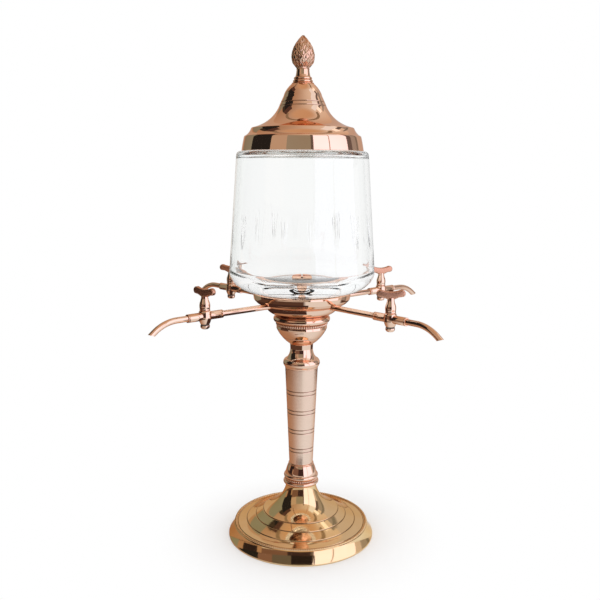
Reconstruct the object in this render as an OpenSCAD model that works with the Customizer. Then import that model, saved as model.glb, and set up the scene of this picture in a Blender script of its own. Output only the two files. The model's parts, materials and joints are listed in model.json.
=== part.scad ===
// Table fountain for dripping iced water: a glass reservoir with a lid, carried in a metal cup
// on a turned column, with four radial arms that each end in a plug tap and a bent spout.
// Z is up, the origin is on the column's axis at the level of the table. Millimetres.

/* [Foot] */
// Radius of the foot where it stands
foot_r = 82.5; // [76:0.5:95]
// Height of the foot up to the collar
foot_h = 60; // [50:0.5:70]
// Height of the dished plate at its inner ring
dish_h = 29; // [24:0.5:34]
// Height of the beaded rim
rim_h = 14.5; // [12:0.5:18]
// Hollowness of the dished plate, 1 for a plain cone
dish_bow = 1.7; // [1:0.1:2.2]
// Radius of the beaded rim
rim_r = 76; // [70:0.5:76]
// Thickness of the rim's bead
rim_bead = 3; // [2:0.25:4]
// Radius of the innermost turned ring
ring_a_r = 43; // [38:0.5:46]
// Radius of the middle turned ring
ring_b_r = 51.5; // [48:0.5:55]
// Radius of the outer turned ring
ring_c_r = 62; // [58:0.5:66]
// Radius of the foot's trumpet at its top
trumpet_r = 16.5; // [14:0.5:18]
// Thickness of the foot's plate
foot_wall = 3; // [2:0.25:4]

/* [Column] */
// Radius of the collar's rings
collar_r = 20; // [18:0.5:23]
// Height of the collar
collar_h = 24.5; // [20:0.5:30]
// Height of the tapered stem
stem_h = 111; // [80:1:160]
// Radius of the stem at its lower end
stem_low_r = 13.3; // [12.5:0.1:16]
// Radius of the stem at its upper end
stem_top_r = 18.2; // [14:0.1:19]
// Radius of the stem's bore
stem_bore_r = 9.5; // [7:0.1:10]
// Height of the lowest pair of turned lines over the stem's lower end
line_low = 17; // [8:0.5:25]
// Distance between the pairs of turned lines
line_pitch = 22.3; // [14:0.1:30]
// Distance between the two lines of a pair
line_gap = 4; // [1.5:0.1:6]
// Radius of the knop above the stem
knop_r = 20.4; // [19:0.1:24]
// Height of the knop with its neck
knop_h = 27; // [24:0.5:36]
// Radius of the neck under the bowl
neck_r = 12.5; // [11:0.1:14]
// Radius of the round moulding at the top of the bowl
bowl_r = 31.3; // [30:0.1:34]
// Height of the bowl
bowl_h = 33; // [30:0.5:40]
// Radius of the tie rod
rod_r = 4; // [3:0.1:4.5]

/* [Cup] */
// Outer radius of the cup
cup_r = 53.4; // [50:0.1:60]
// Height of the cup
cup_h = 24.7; // [24:0.1:32]
// Thickness of the cup's metal
cup_wall = 2.2; // [1.5:0.1:3]
// Thickness of the ring that the glass stands on
gasket_t = 2; // [1:0.1:3]
// Outer radius of that ring
gasket_r = 42; // [34:0.5:48]
// Radius of the water block inside the cup
block_r = 23.4; // [21:0.1:23.8]

/* [Reservoir] */
// Height of the glass up to its shoulder
glass_h = 151; // [110:1:190]
// Largest radius of the glass, near its foot
glass_low_r = 79; // [74:0.5:90]
// Radius of the glass under its shoulder
glass_top_r = 70.5; // [69:0.5:78]
// Thickness of the glass wall
glass_wall = 4; // [3:0.25:5]
// Thickness of the glass floor
glass_floor = 11; // [8:0.5:14]
// Outer radius of the mouth's rim inside the lid
mouth_r = 61.5; // [58:0.25:62]
// Height of the mouth's rim above the shoulder
mouth_h = 8.5; // [5:0.5:12]
// Radius of the drain fitting's flange
drain_r = 11; // [9:0.5:14]
// Height of the drain fitting's flange
drain_h = 4; // [3:0.5:6]

/* [Lid] */
// Radius of the lid's skirt at its edge
lid_r = 64.9; // [64:0.1:66]
// Height of the lid's skirt
skirt_h = 15.4; // [13:0.1:18]
// Radius of the lid's ledge
ledge_r = 54; // [50:0.5:56]
// Height of the lid
lid_h = 69.2; // [62:0.1:80]
// Thickness of the lid's sheet
lid_wall = 1.2; // [0.8:0.1:1.8]
// Radius of the cone on the finial
cone_r = 12.2; // [9:0.1:14]
// Height of the cone on the finial
cone_h = 32; // [24:0.5:40]
// Height of the finial's turned foot
finial_foot_h = 17; // [14:0.5:22]

/* [Taps] */
// Distance from the column's axis to each tap
tap_reach = 129; // [110:1:160]
// Angle from the left and right axis to the arms
arm_angle = 42; // [30:1:60]
// Height of the arms above the underside of the cup
arm_rise = 13.7; // [12.5:0.1:14]
// Outer radius of the arm and spout tube
tube_r = 3; // [2.8:0.05:3.4]
// Thickness of the tube's wall
tube_wall = 1; // [0.6:0.05:1.2]
// Largest radius of the tap's barrel
barrel_r = 6.4; // [6.2:0.1:7.4]
// Half length of the tap from socket to socket
socket_x = 21; // [18:0.5:26]
// Radius of the sockets
socket_r = 4.2; // [4.1:0.05:4.8]
// Depth of the sockets
socket_d = 9; // [6:0.5:10]
// Radius of the tapered plug at its top
plug_top_r = 4; // [3.6:0.05:4.4]
// Radius of the tapered plug at its foot
plug_low_r = 3.3; // [3:0.05:3.5]
// Radius of the water way through the plug and the barrel
port_r = 1; // [0.8:0.05:1.4]
// Height of the key's vase above the barrel
vase_h = 13.6; // [11:0.1:18]
// Length of the handle
handle_w = 28.2; // [22:0.1:36]
// Thickness of the handle
handle_t = 5; // [3.5:0.1:6]
// Height of the handle's round ends
handle_h = 7.4; // [6:0.1:9]
// Radius of the spout's bend
bend_r = 42; // [30:1:55]
// Angle of the spout's bend
bend_angle = 38; // [30:1:60]
// Straight length of the spout after the tap
spout_run = 11.5; // [5:0.5:20]
// Straight length of the spout's short side after its bend
spout_tip = 1.5; // [1:0.5:12]

/* [Fits] */
// Gap round a turning or screwed part
fit = 0.06; // [0.03:0.01:0.1]
// Gap between parts that lift or turn past each other
run_gap = 0.3; // [0.2:0.05:0.4]
// Width of the glass's flat shoulder outside the lid
lid_seat = 1.1; // [0.5:0.1:2]

/* [Hidden] */
// Place, direction of the arm from +X, and turn of the key from its arm, for each tap
TAPS = [
    ["front_left", 180 + arm_angle, 98],
    ["front_right", 270 + arm_angle, 48],
    ["rear_right", arm_angle, 158],
    ["rear_left", 90 + arm_angle, 33],
];
TAP_PARTS = ["arm_pipe", "tap_body", "tap_key", "tap_washer", "tap_nut", "spout"];

copper = [0.80, 0.52, 0.38];
gold = [0.79, 0.56, 0.33];
steel = [0.62, 0.62, 0.62];
rubber = [0.10, 0.10, 0.10];
clear = [0.86, 0.92, 0.90, 0.35];

// Levels of the stacked pieces
collar_z = foot_h;
stem_z = collar_z + collar_h;
knop_z = stem_z + stem_h;
bowl_z = knop_z + knop_h;
cup_z = bowl_z + bowl_h;
arm_z = cup_z + arm_rise;
cup_rim_z = cup_z + cup_h;
glass_z = cup_rim_z + run_gap;
gasket_z = glass_z - gasket_t;
glass_floor_z = glass_z + glass_floor;
shoulder_z = glass_z + glass_h;
lid_z = shoulder_z + run_gap;
finial_z = lid_z + lid_h;

// Rod, block and fittings
rod_hole_r = rod_r + run_gap;
boss_r = 9;
boss_z = 24;
washer_t = 1.6;
rod_nut_h = 6.5;
rod_end = 3;
spigot_h = 6;
block_foot_z = cup_z + 2.5;
block_boss_h = 18;
block_boss_r = 9;
cup_floor_t = 2.5;
cup_floor_z = gasket_z - cup_floor_t;
chamber_r = 9;
chamber_low_z = arm_z - 4.5;
chamber_top_z = arm_z + 4.5;
stud_r = 6;
stud_bore_r = 3.5;
drain_washer_t = 1.5;
opening_r = block_r + 0.6;
arm_start = 14.5;

// Tap
barrel_top = 5.6;
barrel_foot = 7.8;
seat_r = 5.3;
nut_r = 4.7;
nut_h = 3.9;
tap_washer_t = 1;
thread_r = 2;
bend_draw = 0.02;
handle_z = barrel_top + run_gap + vase_h;
washer_gap = 0.2;
washer_foot = barrel_foot + washer_gap + tap_washer_t;
nut_foot = washer_foot + nut_h;

$fn = 96;

// Points on an elliptic arc round c, from angle a to angle b
function arc(c, rx, ry, a, b, n = 8) =
    [for (i = [0:n]) let (t = a + (b - a) * i / n) [c[0] + rx * cos(t), c[1] + ry * sin(t)]];

// Points on a curve that leaves p towards q and arrives at r
function curve(p, q, r, n = 8) =
    [for (i = [0:n]) let (t = i / n) (1 - t) * (1 - t) * p + 2 * t * (1 - t) * q + t * t * r];

// A turned line, cut into a surface at p
function line_cut(p, w, d) = [p + [-w / 2, 0], p + [0, -d], p + [w / 2, 0]];

function tidy(path) =
    [for (i = [0:len(path) - 1]) if (i == 0 || norm(path[i] - path[i - 1]) > 0.02) path[i]];
function reversed(path) = [for (i = [len(path) - 1:-1:0]) path[i]];

// The same path moved sideways by t, for the inner face of a sheet
function inset(path, t) =
    [for (i = [0:len(path) - 1])
        let (a = path[max(i - 1, 0)], b = path[min(i + 1, len(path) - 1)], d = (b - a) / norm(b - a))
        path[i] + t * [-abs(d[1]), -abs(d[0])]];

module turned(path) { rotate_extrude() polygon(tidy(path)); }
module rod_hole(low, high) { translate([0, 0, low]) cylinder(r = rod_hole_r, h = high - low); }
module ring(r_in, r_out, z, h) {
    translate([0, 0, z]) difference() {
        cylinder(r = r_out, h = h);
        translate([0, 0, -1]) cylinder(r = r_in, h = h + 2);
    }
}
module hexagon_nut(r_in, across, z, h) {
    translate([0, 0, z]) difference() {
        cylinder(d = across / cos(30), h = h, $fn = 6);
        translate([0, 0, -1]) cylinder(r = r_in, h = h + 2);
    }
}
module at_tap(i) { rotate([0, 0, TAPS[i][1]]) translate([tap_reach, 0, arm_z]) children(); }
module along_arm() { rotate([0, 90, 0]) children(); }

// Height of the dished plate at radius r
function dish_z(r) = rim_h + (dish_h - rim_h) * pow((rim_r - r) / (rim_r - ring_a_r), dish_bow);
function dish(r) = [r, dish_z(r)];

// Spun foot: trumpet, dished plate with three turned rings, beaded rim and flared skirt
module foot() {
    bead = rim_bead / 2;
    trumpet = curve([trumpet_r, foot_h], [trumpet_r + 3.5, dish_h + 9], dish(ring_a_r), 10);
    hollow_top = [boss_r, foot_h - 10];
    hollow = curve(hollow_top, [trumpet_r, dish_h + 5], dish(ring_a_r) - [0, foot_wall], 8);
    plate = concat(
        line_cut(dish(ring_a_r), 1, 0.7), line_cut(dish(ring_b_r), 1, 0.7),
        [dish((ring_b_r + ring_c_r) / 2)], line_cut(dish(ring_c_r), 1, 0.7),
        [dish((ring_c_r + rim_r) / 2), dish(rim_r - rim_bead)]);
    skirt = curve([rim_r + 0.4, rim_h - 1], [rim_r + 2.5, rim_h * 0.45], [foot_r, 1.6], 6);
    color(gold) difference() {
        turned(concat(
            [[0, 0], [0, foot_h]], trumpet, plate,
            arc([rim_r - bead, rim_h], bead, bead, 170, -20), skirt, [[foot_r, 0]]));
        turned(concat(
            [[0, -1], [foot_r - foot_wall, -1], [foot_r - foot_wall, 1.6],
             [rim_r - foot_wall, rim_h - foot_wall]],
            [for (r = [ring_c_r, ring_b_r]) dish(r) - [0, foot_wall]],
            reversed(hollow), [[boss_r, boss_z], [0, boss_z]]));
        rod_hole(boss_z - 1, foot_h + 1);
    }
}

module rod_washer() {
    color(steel) ring(rod_r + fit, 10, boss_z - washer_t, washer_t);
}

module rod_nut() {
    color(steel) hexagon_nut(rod_r + fit, 13, boss_z - washer_t - rod_nut_h, rod_nut_h);
}

// Rod that clamps the whole column between its nut and the water block
module tie_rod() {
    low = boss_z - washer_t - rod_nut_h - rod_end;
    high = block_foot_z - 3;
    color(steel) translate([0, 0, low]) cylinder(r = rod_r, h = high - low);
}

// Turned collar between foot and stem: two rings with a milled strip between, a bell and a lip
module collar() {
    ring_t = 4.4;
    strip_h = 2.8;
    lip_h = 1.8;
    bell_z = 2 * ring_t + strip_h;
    lip_z = collar_h - lip_h;
    color(copper) translate([0, 0, collar_z]) difference() {
        union() {
            turned(concat(
                [[0, 0], [collar_r - 1.8, 0]],
                arc([collar_r - 1.8, ring_t / 2], 1.8, ring_t / 2, -90, 90),
                [[collar_r - 2, ring_t], [collar_r - 2, ring_t + strip_h]],
                arc([collar_r - 2.2, ring_t * 1.5 + strip_h], 1.6, ring_t / 2, -90, 90),
                curve([collar_r - 2.2, bell_z], [collar_r - 3, bell_z + 5], [stem_low_r + 1, lip_z]),
                arc([stem_low_r, lip_z + lip_h / 2], 1, lip_h / 2, -60, 90, 6),
                [[0, collar_h]]));
            cylinder(r = stem_bore_r - fit, h = collar_h + spigot_h);
        }
        rod_hole(-1, collar_h + spigot_h + 1);
    }
}

// Tapered tube with pairs of turned lines
function stem_r(z) = stem_low_r + (stem_top_r - stem_low_r) * z / stem_h;
module stem() {
    last = floor((stem_h - line_low) / line_pitch - 0.5);
    lines = [for (i = [0:last]) for (side = [-1, 1]) line_low + i * line_pitch + side * line_gap / 2];
    color(copper) translate([0, 0, stem_z]) difference() {
        turned(concat(
            [[0, 0], [stem_low_r, 0]],
            [for (z = lines) for (p = [[0, -0.5], [-0.45, 0], [0, 0.5]])
                [stem_r(z) + p[0], z + p[1]]],
            [[stem_top_r, stem_h], [0, stem_h]]));
        translate([0, 0, -1]) cylinder(r = stem_bore_r, h = stem_h + 2);
    }
}

// Knop over the stem, drawn in to the neck under the bowl
module knop() {
    knop_mid = 5.6;
    color(copper) translate([0, 0, knop_z]) difference() {
        union() {
            turned(concat(
                [[0, 0], [knop_r - 2, 0]],
                arc([knop_r - 4, knop_mid], 4, 5, -55, 65),
                curve([knop_r - 3.2, knop_mid + 4.9], [neck_r + 0.4, knop_mid + 8.5],
                      [neck_r, knop_mid + 16]),
                [[neck_r + 0.3, knop_h], [0, knop_h]]));
            translate([0, 0, -spigot_h]) cylinder(r = stem_bore_r - fit, h = spigot_h + 1);
        }
        rod_hole(-spigot_h - 1, knop_h + 1);
    }
}

// Hollow bowl with a turned line, a milled band and a round moulding under the cup
module bowl() {
    band_z = bowl_h - 12;
    band_h = 3.6;
    side_r = bowl_r - 3.3;
    mould = (bowl_h - band_z - band_h - 0.8) / 2;
    side = curve([neck_r + 0.3, 0], [side_r - 5, band_z * 0.33], [side_r, band_z - 3], 10);
    color(copper) translate([0, 0, bowl_z]) difference() {
        union() {
            turned(concat(
                [[0, 0]], side,
                [[side_r, band_z], [side_r + 0.6, band_z + 0.4],
                 [side_r + 0.6, band_z + band_h - 0.4], [side_r, band_z + band_h]],
                arc([bowl_r - 3.8, band_z + band_h + mould], 3.8, mould, -80, 80, 10),
                [[bowl_r - 2.3, bowl_h], [0, bowl_h]]));
            translate([0, 0, band_z]) cylinder(r = opening_r - fit, h = bowl_h + 2 - band_z);
        }
        turned(concat(
            [[0, 4], [rod_hole_r + 1, 4]],
            curve([rod_hole_r + 3, 5], [side_r - 9, band_z * 0.45], [opening_r - 2.4, band_z]),
            [[opening_r - 2.4, bowl_h + 3], [0, bowl_h + 3]]));
        rotate_extrude() translate(side[5] + [0.25, 0]) circle(r = 0.5, $fn = 24);
        rod_hole(-1, 5);
    }
}

// Block that shares the water out: chamber under the drain stud, four ports, boss on the rod
module water_block() {
    color(copper) difference() {
        union() {
            translate([0, 0, block_foot_z]) cylinder(r = block_r, h = cup_floor_z - block_foot_z);
            translate([0, 0, block_foot_z - block_boss_h]) cylinder(r = block_boss_r, h = block_boss_h + 1);
        }
        translate([0, 0, chamber_low_z]) cylinder(r = chamber_r, h = chamber_top_z - chamber_low_z);
        translate([0, 0, chamber_top_z - 1]) cylinder(r = stud_r + fit, h = cup_floor_z - chamber_top_z + 2);
        translate([0, 0, block_foot_z - block_boss_h - 1])
            cylinder(r = rod_r + fit, h = block_boss_h - 1);
        for (tap = TAPS) translate([0, 0, arm_z]) rotate([0, 0, tap[1]]) along_arm() {
            translate([0, 0, arm_start - 0.2]) cylinder(r = tube_r + fit, h = block_r);
            translate([0, 0, chamber_r - 3]) cylinder(r = tube_r - tube_wall, h = arm_start);
        }
    }
}

// Spun cup in two rounded steps, with reeds on the upper one and a hole for each arm
module cup() {
    step_z = 10;
    wall_z = 21.8;
    low_r = cup_r - 13.9;
    mid = [low_r - 15.5, step_z];
    top = [low_r - 3.5, wall_z];
    top_rx = cup_r - top[0];
    top_ry = wall_z - step_z;
    reeds = [-64, -48, -32, -14];
    color(copper) translate([0, 0, cup_z]) difference() {
        turned(concat(
            [[0, 0]], arc(mid, 15.5, step_z, -72, 0),
            [[low_r + 1.5, step_z + 0.1]],
            [for (i = [0:len(reeds) - 2]) for (p = arc([0, 0], 1, 1, reeds[i], reeds[i + 1], 4))
                let (k = (p[1] - sin(reeds[i])) * (sin(reeds[i + 1]) - p[1]) * 14)
                top + [(top_rx + k) * p[0], (top_ry + k) * p[1]]],
            [[cup_r, wall_z], [cup_r, cup_h - 0.6], [cup_r - 0.6, cup_h],
             [0, cup_h]]));
        translate([0, 0, cup_floor_z + cup_floor_t - cup_z]) cylinder(r = cup_r - cup_wall - 0.6, h = 10);
        turned(concat(
            [[0, -1], [opening_r, -1], [opening_r, cup_wall]],
            arc(mid, 15.5 - cup_wall, step_z - cup_wall, -50, 0),
            [[low_r - cup_wall, step_z + cup_wall]],
            arc(top, top_rx - cup_wall - 0.6, top_ry - cup_wall - 0.6, -60, 0),
            [[cup_r - cup_wall - 0.6, cup_floor_z - cup_z], [0, cup_floor_z - cup_z]]));
        cylinder(r = stud_r + run_gap, h = cup_h);
        for (tap = TAPS) translate([0, 0, arm_rise]) rotate([0, 0, tap[1]]) along_arm()
            cylinder(r = tube_r + fit, h = cup_r + 1);
    }
}

module cup_gasket() {
    color(rubber) ring(stud_r + 2, gasket_r, gasket_z, gasket_t);
}

// Hollow bolt that holds the glass down and lets the water through
module drain_stud() {
    flange_z = glass_floor_z + drain_washer_t;
    low = chamber_top_z - 2;
    color(copper) difference() {
        union() {
            translate([0, 0, low]) cylinder(r = stud_r, h = flange_z - low + 1);
            translate([0, 0, flange_z]) turned(concat(
                [[0, 0], [drain_r, 0], [drain_r, drain_h / 2]],
                arc([drain_r - 1.5, drain_h / 2], 1.5, drain_h / 2, 0, 90, 5),
                [[0, drain_h]]));
        }
        translate([0, 0, low - 1]) cylinder(r = stud_bore_r, h = flange_z + drain_h - low + 2);
        translate([0, 0, flange_z + drain_h + 0.1]) for (a = [0, 90])
            rotate([0, 0, a]) cube([2 * drain_r + 2, 2.4, 4], center = true);
    }
}

module drain_washer() {
    color(rubber) ring(stud_r + 1, drain_r - 0.5, glass_floor_z, drain_washer_t);
}

// Blown glass with a heavy floor, a rounded heel, a shoulder and a rim that the lid goes over
module reservoir() {
    heel = [cup_r - 8.4, 23.5];
    heel_in = [heel[0] + 3, glass_floor + 14.5];
    low_in = glass_low_r - glass_wall;
    top_in = glass_top_r - glass_wall;
    mouth_in = mouth_r - glass_wall + 0.5;
    shoulder = 4.5;
    seat_r = lid_r + lid_seat;
    color(clear) translate([0, 0, glass_z]) difference() {
        turned(concat(
            [[0, 0]], arc(heel, glass_low_r - heel[0], heel[1], -90, 0, 12),
            [[glass_top_r, glass_h - shoulder]],
            arc([seat_r, glass_h - shoulder], glass_top_r - seat_r, shoulder, 0, 90, 6),
            [[mouth_r, glass_h], [mouth_r, glass_h + mouth_h - 1]],
            arc([mouth_r - 1, glass_h + mouth_h - 1], 1, 1, 0, 90, 4),
            [[0, glass_h + mouth_h]]));
        turned(concat(
            [[0, glass_floor]], arc(heel_in, low_in - heel_in[0], 14.5, -90, 0, 10),
            [[top_in, glass_h - glass_wall - shoulder]],
            curve([top_in, glass_h - glass_wall - shoulder], [top_in, glass_h - glass_wall],
                  [mouth_in, glass_h - 1.5], 6),
            [[mouth_in, glass_h + mouth_h + 1], [0, glass_h + mouth_h + 1]]));
        translate([0, 0, -1]) cylinder(r = stud_r + run_gap, h = glass_floor + 2);
    }
}

finial_foot_r = 11.8;

// Outline of the spun lid: flared skirt, hollow chamfer, ledge, drawn-in dome and round crown
waist = [25, 46.2];
crown = [20.2, 57];
lid_path = concat(
    curve([lid_r, 0], [lid_r - 1.4, skirt_h * 0.6], [lid_r - 2.8, skirt_h - 0.8], 4),
    [[lid_r - 3.3, skirt_h]],
    curve([lid_r - 3.9, skirt_h + 0.2], [ledge_r + 2.8, skirt_h + 2.6], [ledge_r + 0.6, skirt_h + 8], 5),
    curve([ledge_r, skirt_h + 8.6], [waist[0] + 8, 29], waist, 10),
    [waist + [0.1, 1], waist + [-0.6, 1.2]],
    curve(crown, crown + [-1.9, 6.5], [finial_foot_r, lid_h], 8));

module lid() {
    color(copper) translate([0, 0, lid_z]) difference() {
        turned(concat(lid_path, [[0, lid_h], [0, lid_h - lid_wall]], reversed(inset(lid_path, lid_wall))));
        translate([0, 0, lid_h - 5]) cylinder(r = thread_r + run_gap + 0.5, h = 10);
    }
}

// Finial: stud, turned foot with two rings, neck and cone
module finial() {
    cone_low = finial_foot_h;
    cone_mid = finial_foot_h + 10;
    cone_top = finial_foot_h + cone_h;
    neck = 6.6;
    color(copper) translate([0, 0, finial_z]) union() {
        turned(concat(
            [[0, 0], [finial_foot_r - 0.5, 0], [finial_foot_r, 0.8], [finial_foot_r, 1.8],
             [finial_foot_r - 1, 2.3], [finial_foot_r - 0.7, 3], [finial_foot_r - 0.9, 4.2]],
            curve([finial_foot_r - 1.4, 4.6], [neck + 0.6, 7.5], [neck, cone_low - 1.5]),
            [[neck + 0.2, cone_low - 0.4]],
            curve([neck + 0.6, cone_low], [cone_r, cone_low + 3.5], [cone_r, cone_mid], 6),
            curve([cone_r, cone_mid], [cone_r, cone_mid + cone_h * 0.34], [2, cone_top - 0.4], 8),
            [[0, cone_top]]));
        translate([0, 0, -lid_wall - 7]) cylinder(r = thread_r + 0.5, h = lid_wall + 8);
    }
}

module finial_washer() {
    color(steel) ring(thread_r + 0.5 + fit, 6, finial_z - lid_wall - 1, 1);
}

module finial_nut() {
    color(steel) hexagon_nut(thread_r + 0.5 + fit, 8, finial_z - lid_wall - 5, 4);
}

// Tube from the water block, through the cup's wall, into the tap's inner socket
module arm_pipe(i) {
    end = tap_reach - socket_x + socket_d - 0.2;
    color(copper) rotate([0, 0, TAPS[i][1]]) translate([0, 0, arm_z]) along_arm() difference() {
        translate([0, 0, arm_start]) cylinder(r = tube_r, h = end - arm_start);
        translate([0, 0, arm_start - 1]) cylinder(r = tube_r - tube_wall, h = end - arm_start + 2);
    }
}

// Radius of the tapered plug at height z over the middle of the barrel
function plug_r(z) =
    plug_low_r + (plug_top_r - plug_low_r) * (z + barrel_foot) / (barrel_top + barrel_foot);

// Cast barrel with a grooved socket on each side and a tapered bore through it
module tap_body(i) {
    lip = 1.6;
    groove = 0.35;
    color(copper) at_tap(i) difference() {
        union() {
            turned(concat(
                [[0, -barrel_foot], [nut_r - 0.3, -barrel_foot]],
                curve([nut_r, 0.5 - barrel_foot], [barrel_r, -barrel_foot / 2], [barrel_r, -1]),
                curve([barrel_r, 1], [barrel_r, barrel_top / 2], [barrel_r - 0.5, barrel_top - 0.8], 4),
                [[barrel_r - 1.1, barrel_top], [0, barrel_top]]));
            for (side = [0, 180]) rotate([0, 0, side]) along_arm() turned([
                [0, 0], [socket_r, 0], [socket_r, socket_x - lip - groove],
                [socket_r - groove, socket_x - lip], [socket_r, socket_x - lip + groove],
                [socket_r, socket_x - 0.3], [socket_r - 0.3, socket_x], [0, socket_x]]);
        }
        translate([0, 0, -barrel_foot - 1])
            cylinder(r1 = plug_r(-barrel_foot - 1) + fit, r2 = plug_r(barrel_top + 1) + fit,
                     h = barrel_foot + barrel_top + 2);
        for (side = [0, 180]) rotate([0, 0, side]) along_arm() {
            translate([0, 0, socket_x - socket_d]) cylinder(r = tube_r + fit, h = socket_d + 1);
            cylinder(r = port_r, h = socket_x);
        }
    }
}

// Outline of the handle: two round ends lifted above a hollow back
module handle_outline() {
    end_r = handle_h / 2;
    end_x = handle_w / 2 - end_r;
    lift = 2;
    polygon(tidy(concat(
        arc([end_x, end_r + lift], end_r, end_r, -60, 115, 10),
        curve([end_x - end_r * 0.42, end_r * 1.9 + lift], [0, end_r + lift + 0.3],
              [end_r * 0.42 - end_x, end_r * 1.9 + lift], 8),
        arc([-end_x, end_r + lift], end_r, end_r, 65, 240, 10),
        curve([-end_x + end_r * 0.5, end_r * 0.13 + lift], [-4, 0], [-3, 0], 3),
        curve([3, 0], [4, 0], [end_x - end_r * 0.5, end_r * 0.13 + lift], 3))));
}

// Key: threaded end, tapered plug with its water way, vase and handle, all one casting
module tap_key(i) {
    low = barrel_foot - 0.3;
    vase_z = barrel_top + run_gap;
    color(copper) at_tap(i) rotate([0, 0, TAPS[i][2]]) difference() {
        union() {
            translate([0, 0, -low]) cylinder(r1 = plug_r(-low), r2 = plug_r(vase_z), h = low + vase_z);
            translate([0, 0, 1 - nut_foot]) cylinder(r = thread_r, h = nut_foot - low);
            translate([0, 0, vase_z]) turned(concat(
                [[0, 0], [seat_r - 0.3, 0], [seat_r, 0.5]],
                curve([seat_r - 0.2, 1.6], [seat_r + 0.6, vase_h * 0.4], [seat_r - 0.8, vase_h * 0.66], 6),
                curve([seat_r - 0.8, vase_h * 0.66], [seat_r - 1.7, vase_h * 0.82], [3.3, vase_h + 1.5], 5),
                [[0, vase_h + 1.5]]));
            translate([0, handle_t / 2, handle_z]) rotate([90, 0, 0])
                linear_extrude(handle_t) handle_outline();
        }
        translate([-10, 0, 0]) along_arm() cylinder(r = port_r, h = 20);
    }
}

module tap_washer(i) {
    color(rubber) at_tap(i)
        ring(thread_r + fit, nut_r - 0.3, -washer_foot, tap_washer_t);
}

// Domed cap nut under the barrel
module tap_nut(i) {
    dome = 2.8;
    color(copper) at_tap(i) translate([0, 0, -nut_foot]) difference() {
        turned(concat(
            [[0, 0]], arc([nut_r - dome, dome], dome, dome, -90, 0), [[nut_r, nut_h], [0, nut_h]]));
        translate([0, 0, 0.6]) cylinder(r = thread_r + fit, h = nut_h);
    }
}

// Spout of drawn tube: a run in the tap's outer socket, a bend and a tail cut aslant at its mouth
module tube(h) {
    difference() {
        cylinder(r = tube_r, h = h);
        translate([0, 0, -1]) cylinder(r = tube_r - tube_wall, h = h + 2);
    }
}

module spout(i) {
    start = socket_x - socket_d + 0.2;
    tail_a = 90 - bend_angle;
    tail = spout_tip + tube_r / tan(bend_angle);
    color(copper) at_tap(i) {
        translate([start, 0, 0]) along_arm() tube(socket_x + spout_run - start);
        translate([socket_x + spout_run, 0, -bend_r]) {
            rotate([90, 0, 0]) rotate([0, 0, tail_a]) rotate_extrude(angle = bend_angle)
                translate([bend_r, 0]) difference() {
                    circle(r = tube_r - bend_draw);
                    circle(r = tube_r - tube_wall + bend_draw);
                }
            rotate([0, -tail_a, 0]) translate([bend_r, 0, 0]) rotate([180, 0, 0]) difference() {
                tube(tail + 2 * tube_r);
                translate([0, 0, tail]) rotate([0, tail_a, 0]) translate([-20, -20, 0])
                    cube([40, 40, 20]);
            }
        }
    }
}

foot();
tie_rod();
rod_washer();
rod_nut();
collar();
stem();
knop();
bowl();
water_block();
cup();
cup_gasket();
drain_stud();
drain_washer();
reservoir();
lid();
finial();
finial_washer();
finial_nut();
for (i = [0:len(TAPS) - 1]) {
    arm_pipe(i);
    tap_body(i);
    tap_key(i);
    tap_washer(i);
    tap_nut(i);
    spout(i);
}
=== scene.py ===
# %% [markdown]
# # A table fountain for iced water, in copper and cut glass
# The real thing is a spun foot, a turned column and a glass reservoir under a spun lid, with four
# arms that end in plug taps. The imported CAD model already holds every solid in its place, so this
# script only gives each one its finished surface. Anything turned, spun or blown is a profile
# swept round an axis, and that is how most pieces are made here too.

# %% Load the frame
import json
import math

import bmesh
import bpy
from mathutils import Matrix, Vector

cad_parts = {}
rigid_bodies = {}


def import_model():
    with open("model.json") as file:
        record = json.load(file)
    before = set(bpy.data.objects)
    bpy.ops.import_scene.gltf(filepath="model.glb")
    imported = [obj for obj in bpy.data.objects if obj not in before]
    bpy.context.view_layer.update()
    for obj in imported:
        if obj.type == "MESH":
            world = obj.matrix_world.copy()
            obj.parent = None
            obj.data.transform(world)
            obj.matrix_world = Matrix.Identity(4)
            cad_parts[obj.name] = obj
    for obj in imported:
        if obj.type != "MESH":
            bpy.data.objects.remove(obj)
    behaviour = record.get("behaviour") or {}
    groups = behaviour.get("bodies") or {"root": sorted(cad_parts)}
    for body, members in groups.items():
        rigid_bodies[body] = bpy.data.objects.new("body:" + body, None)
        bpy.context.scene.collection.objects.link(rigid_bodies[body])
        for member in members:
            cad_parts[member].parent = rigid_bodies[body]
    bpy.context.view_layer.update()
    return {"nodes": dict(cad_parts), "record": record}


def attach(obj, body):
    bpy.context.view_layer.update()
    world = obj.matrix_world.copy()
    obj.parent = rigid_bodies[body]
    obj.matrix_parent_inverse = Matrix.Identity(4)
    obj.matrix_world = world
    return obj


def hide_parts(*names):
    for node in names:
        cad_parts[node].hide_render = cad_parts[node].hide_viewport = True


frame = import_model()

# %% [markdown]
# Profiles are lists of (radius, height) in millimetres, the unit that a turner would use. Two
# helpers draw the curves in them: an elliptic arc for rings and beads, and a quadratic curve for
# sweeps such as a trumpet or a vase. A third moves a curve to where it belongs, and a fourth opens
# a fine turned line in a surface. A profile point may carry a third number, which says how much
# polish residue and painted shade it holds, from 0 on open metal to 1 at the bottom of a line.

# %% Curves for profiles
def arc(c, rx, ry, start, end, n=12):
    """Points on an elliptic arc round c, between two angles in degrees."""
    out = []
    for i in range(n + 1):
        a = math.radians(start + (end - start) * i / n)
        out.append((c[0] + rx * math.cos(a), c[1] + ry * math.sin(a)))
    return out


def sweep(p, q, r, n=20):
    """Points on a curve that leaves p towards q and arrives at r."""
    out = []
    for i in range(n + 1):
        t = i / n
        out.append(tuple((1 - t) ** 2 * a + 2 * t * (1 - t) * b + t * t * c for a, b, c in zip(p, q, r)))
    return out


def raised(points, by):
    """The same profile, moved up."""
    return [(p[0], p[1] + by, *p[2:]) for p in points]


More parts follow.
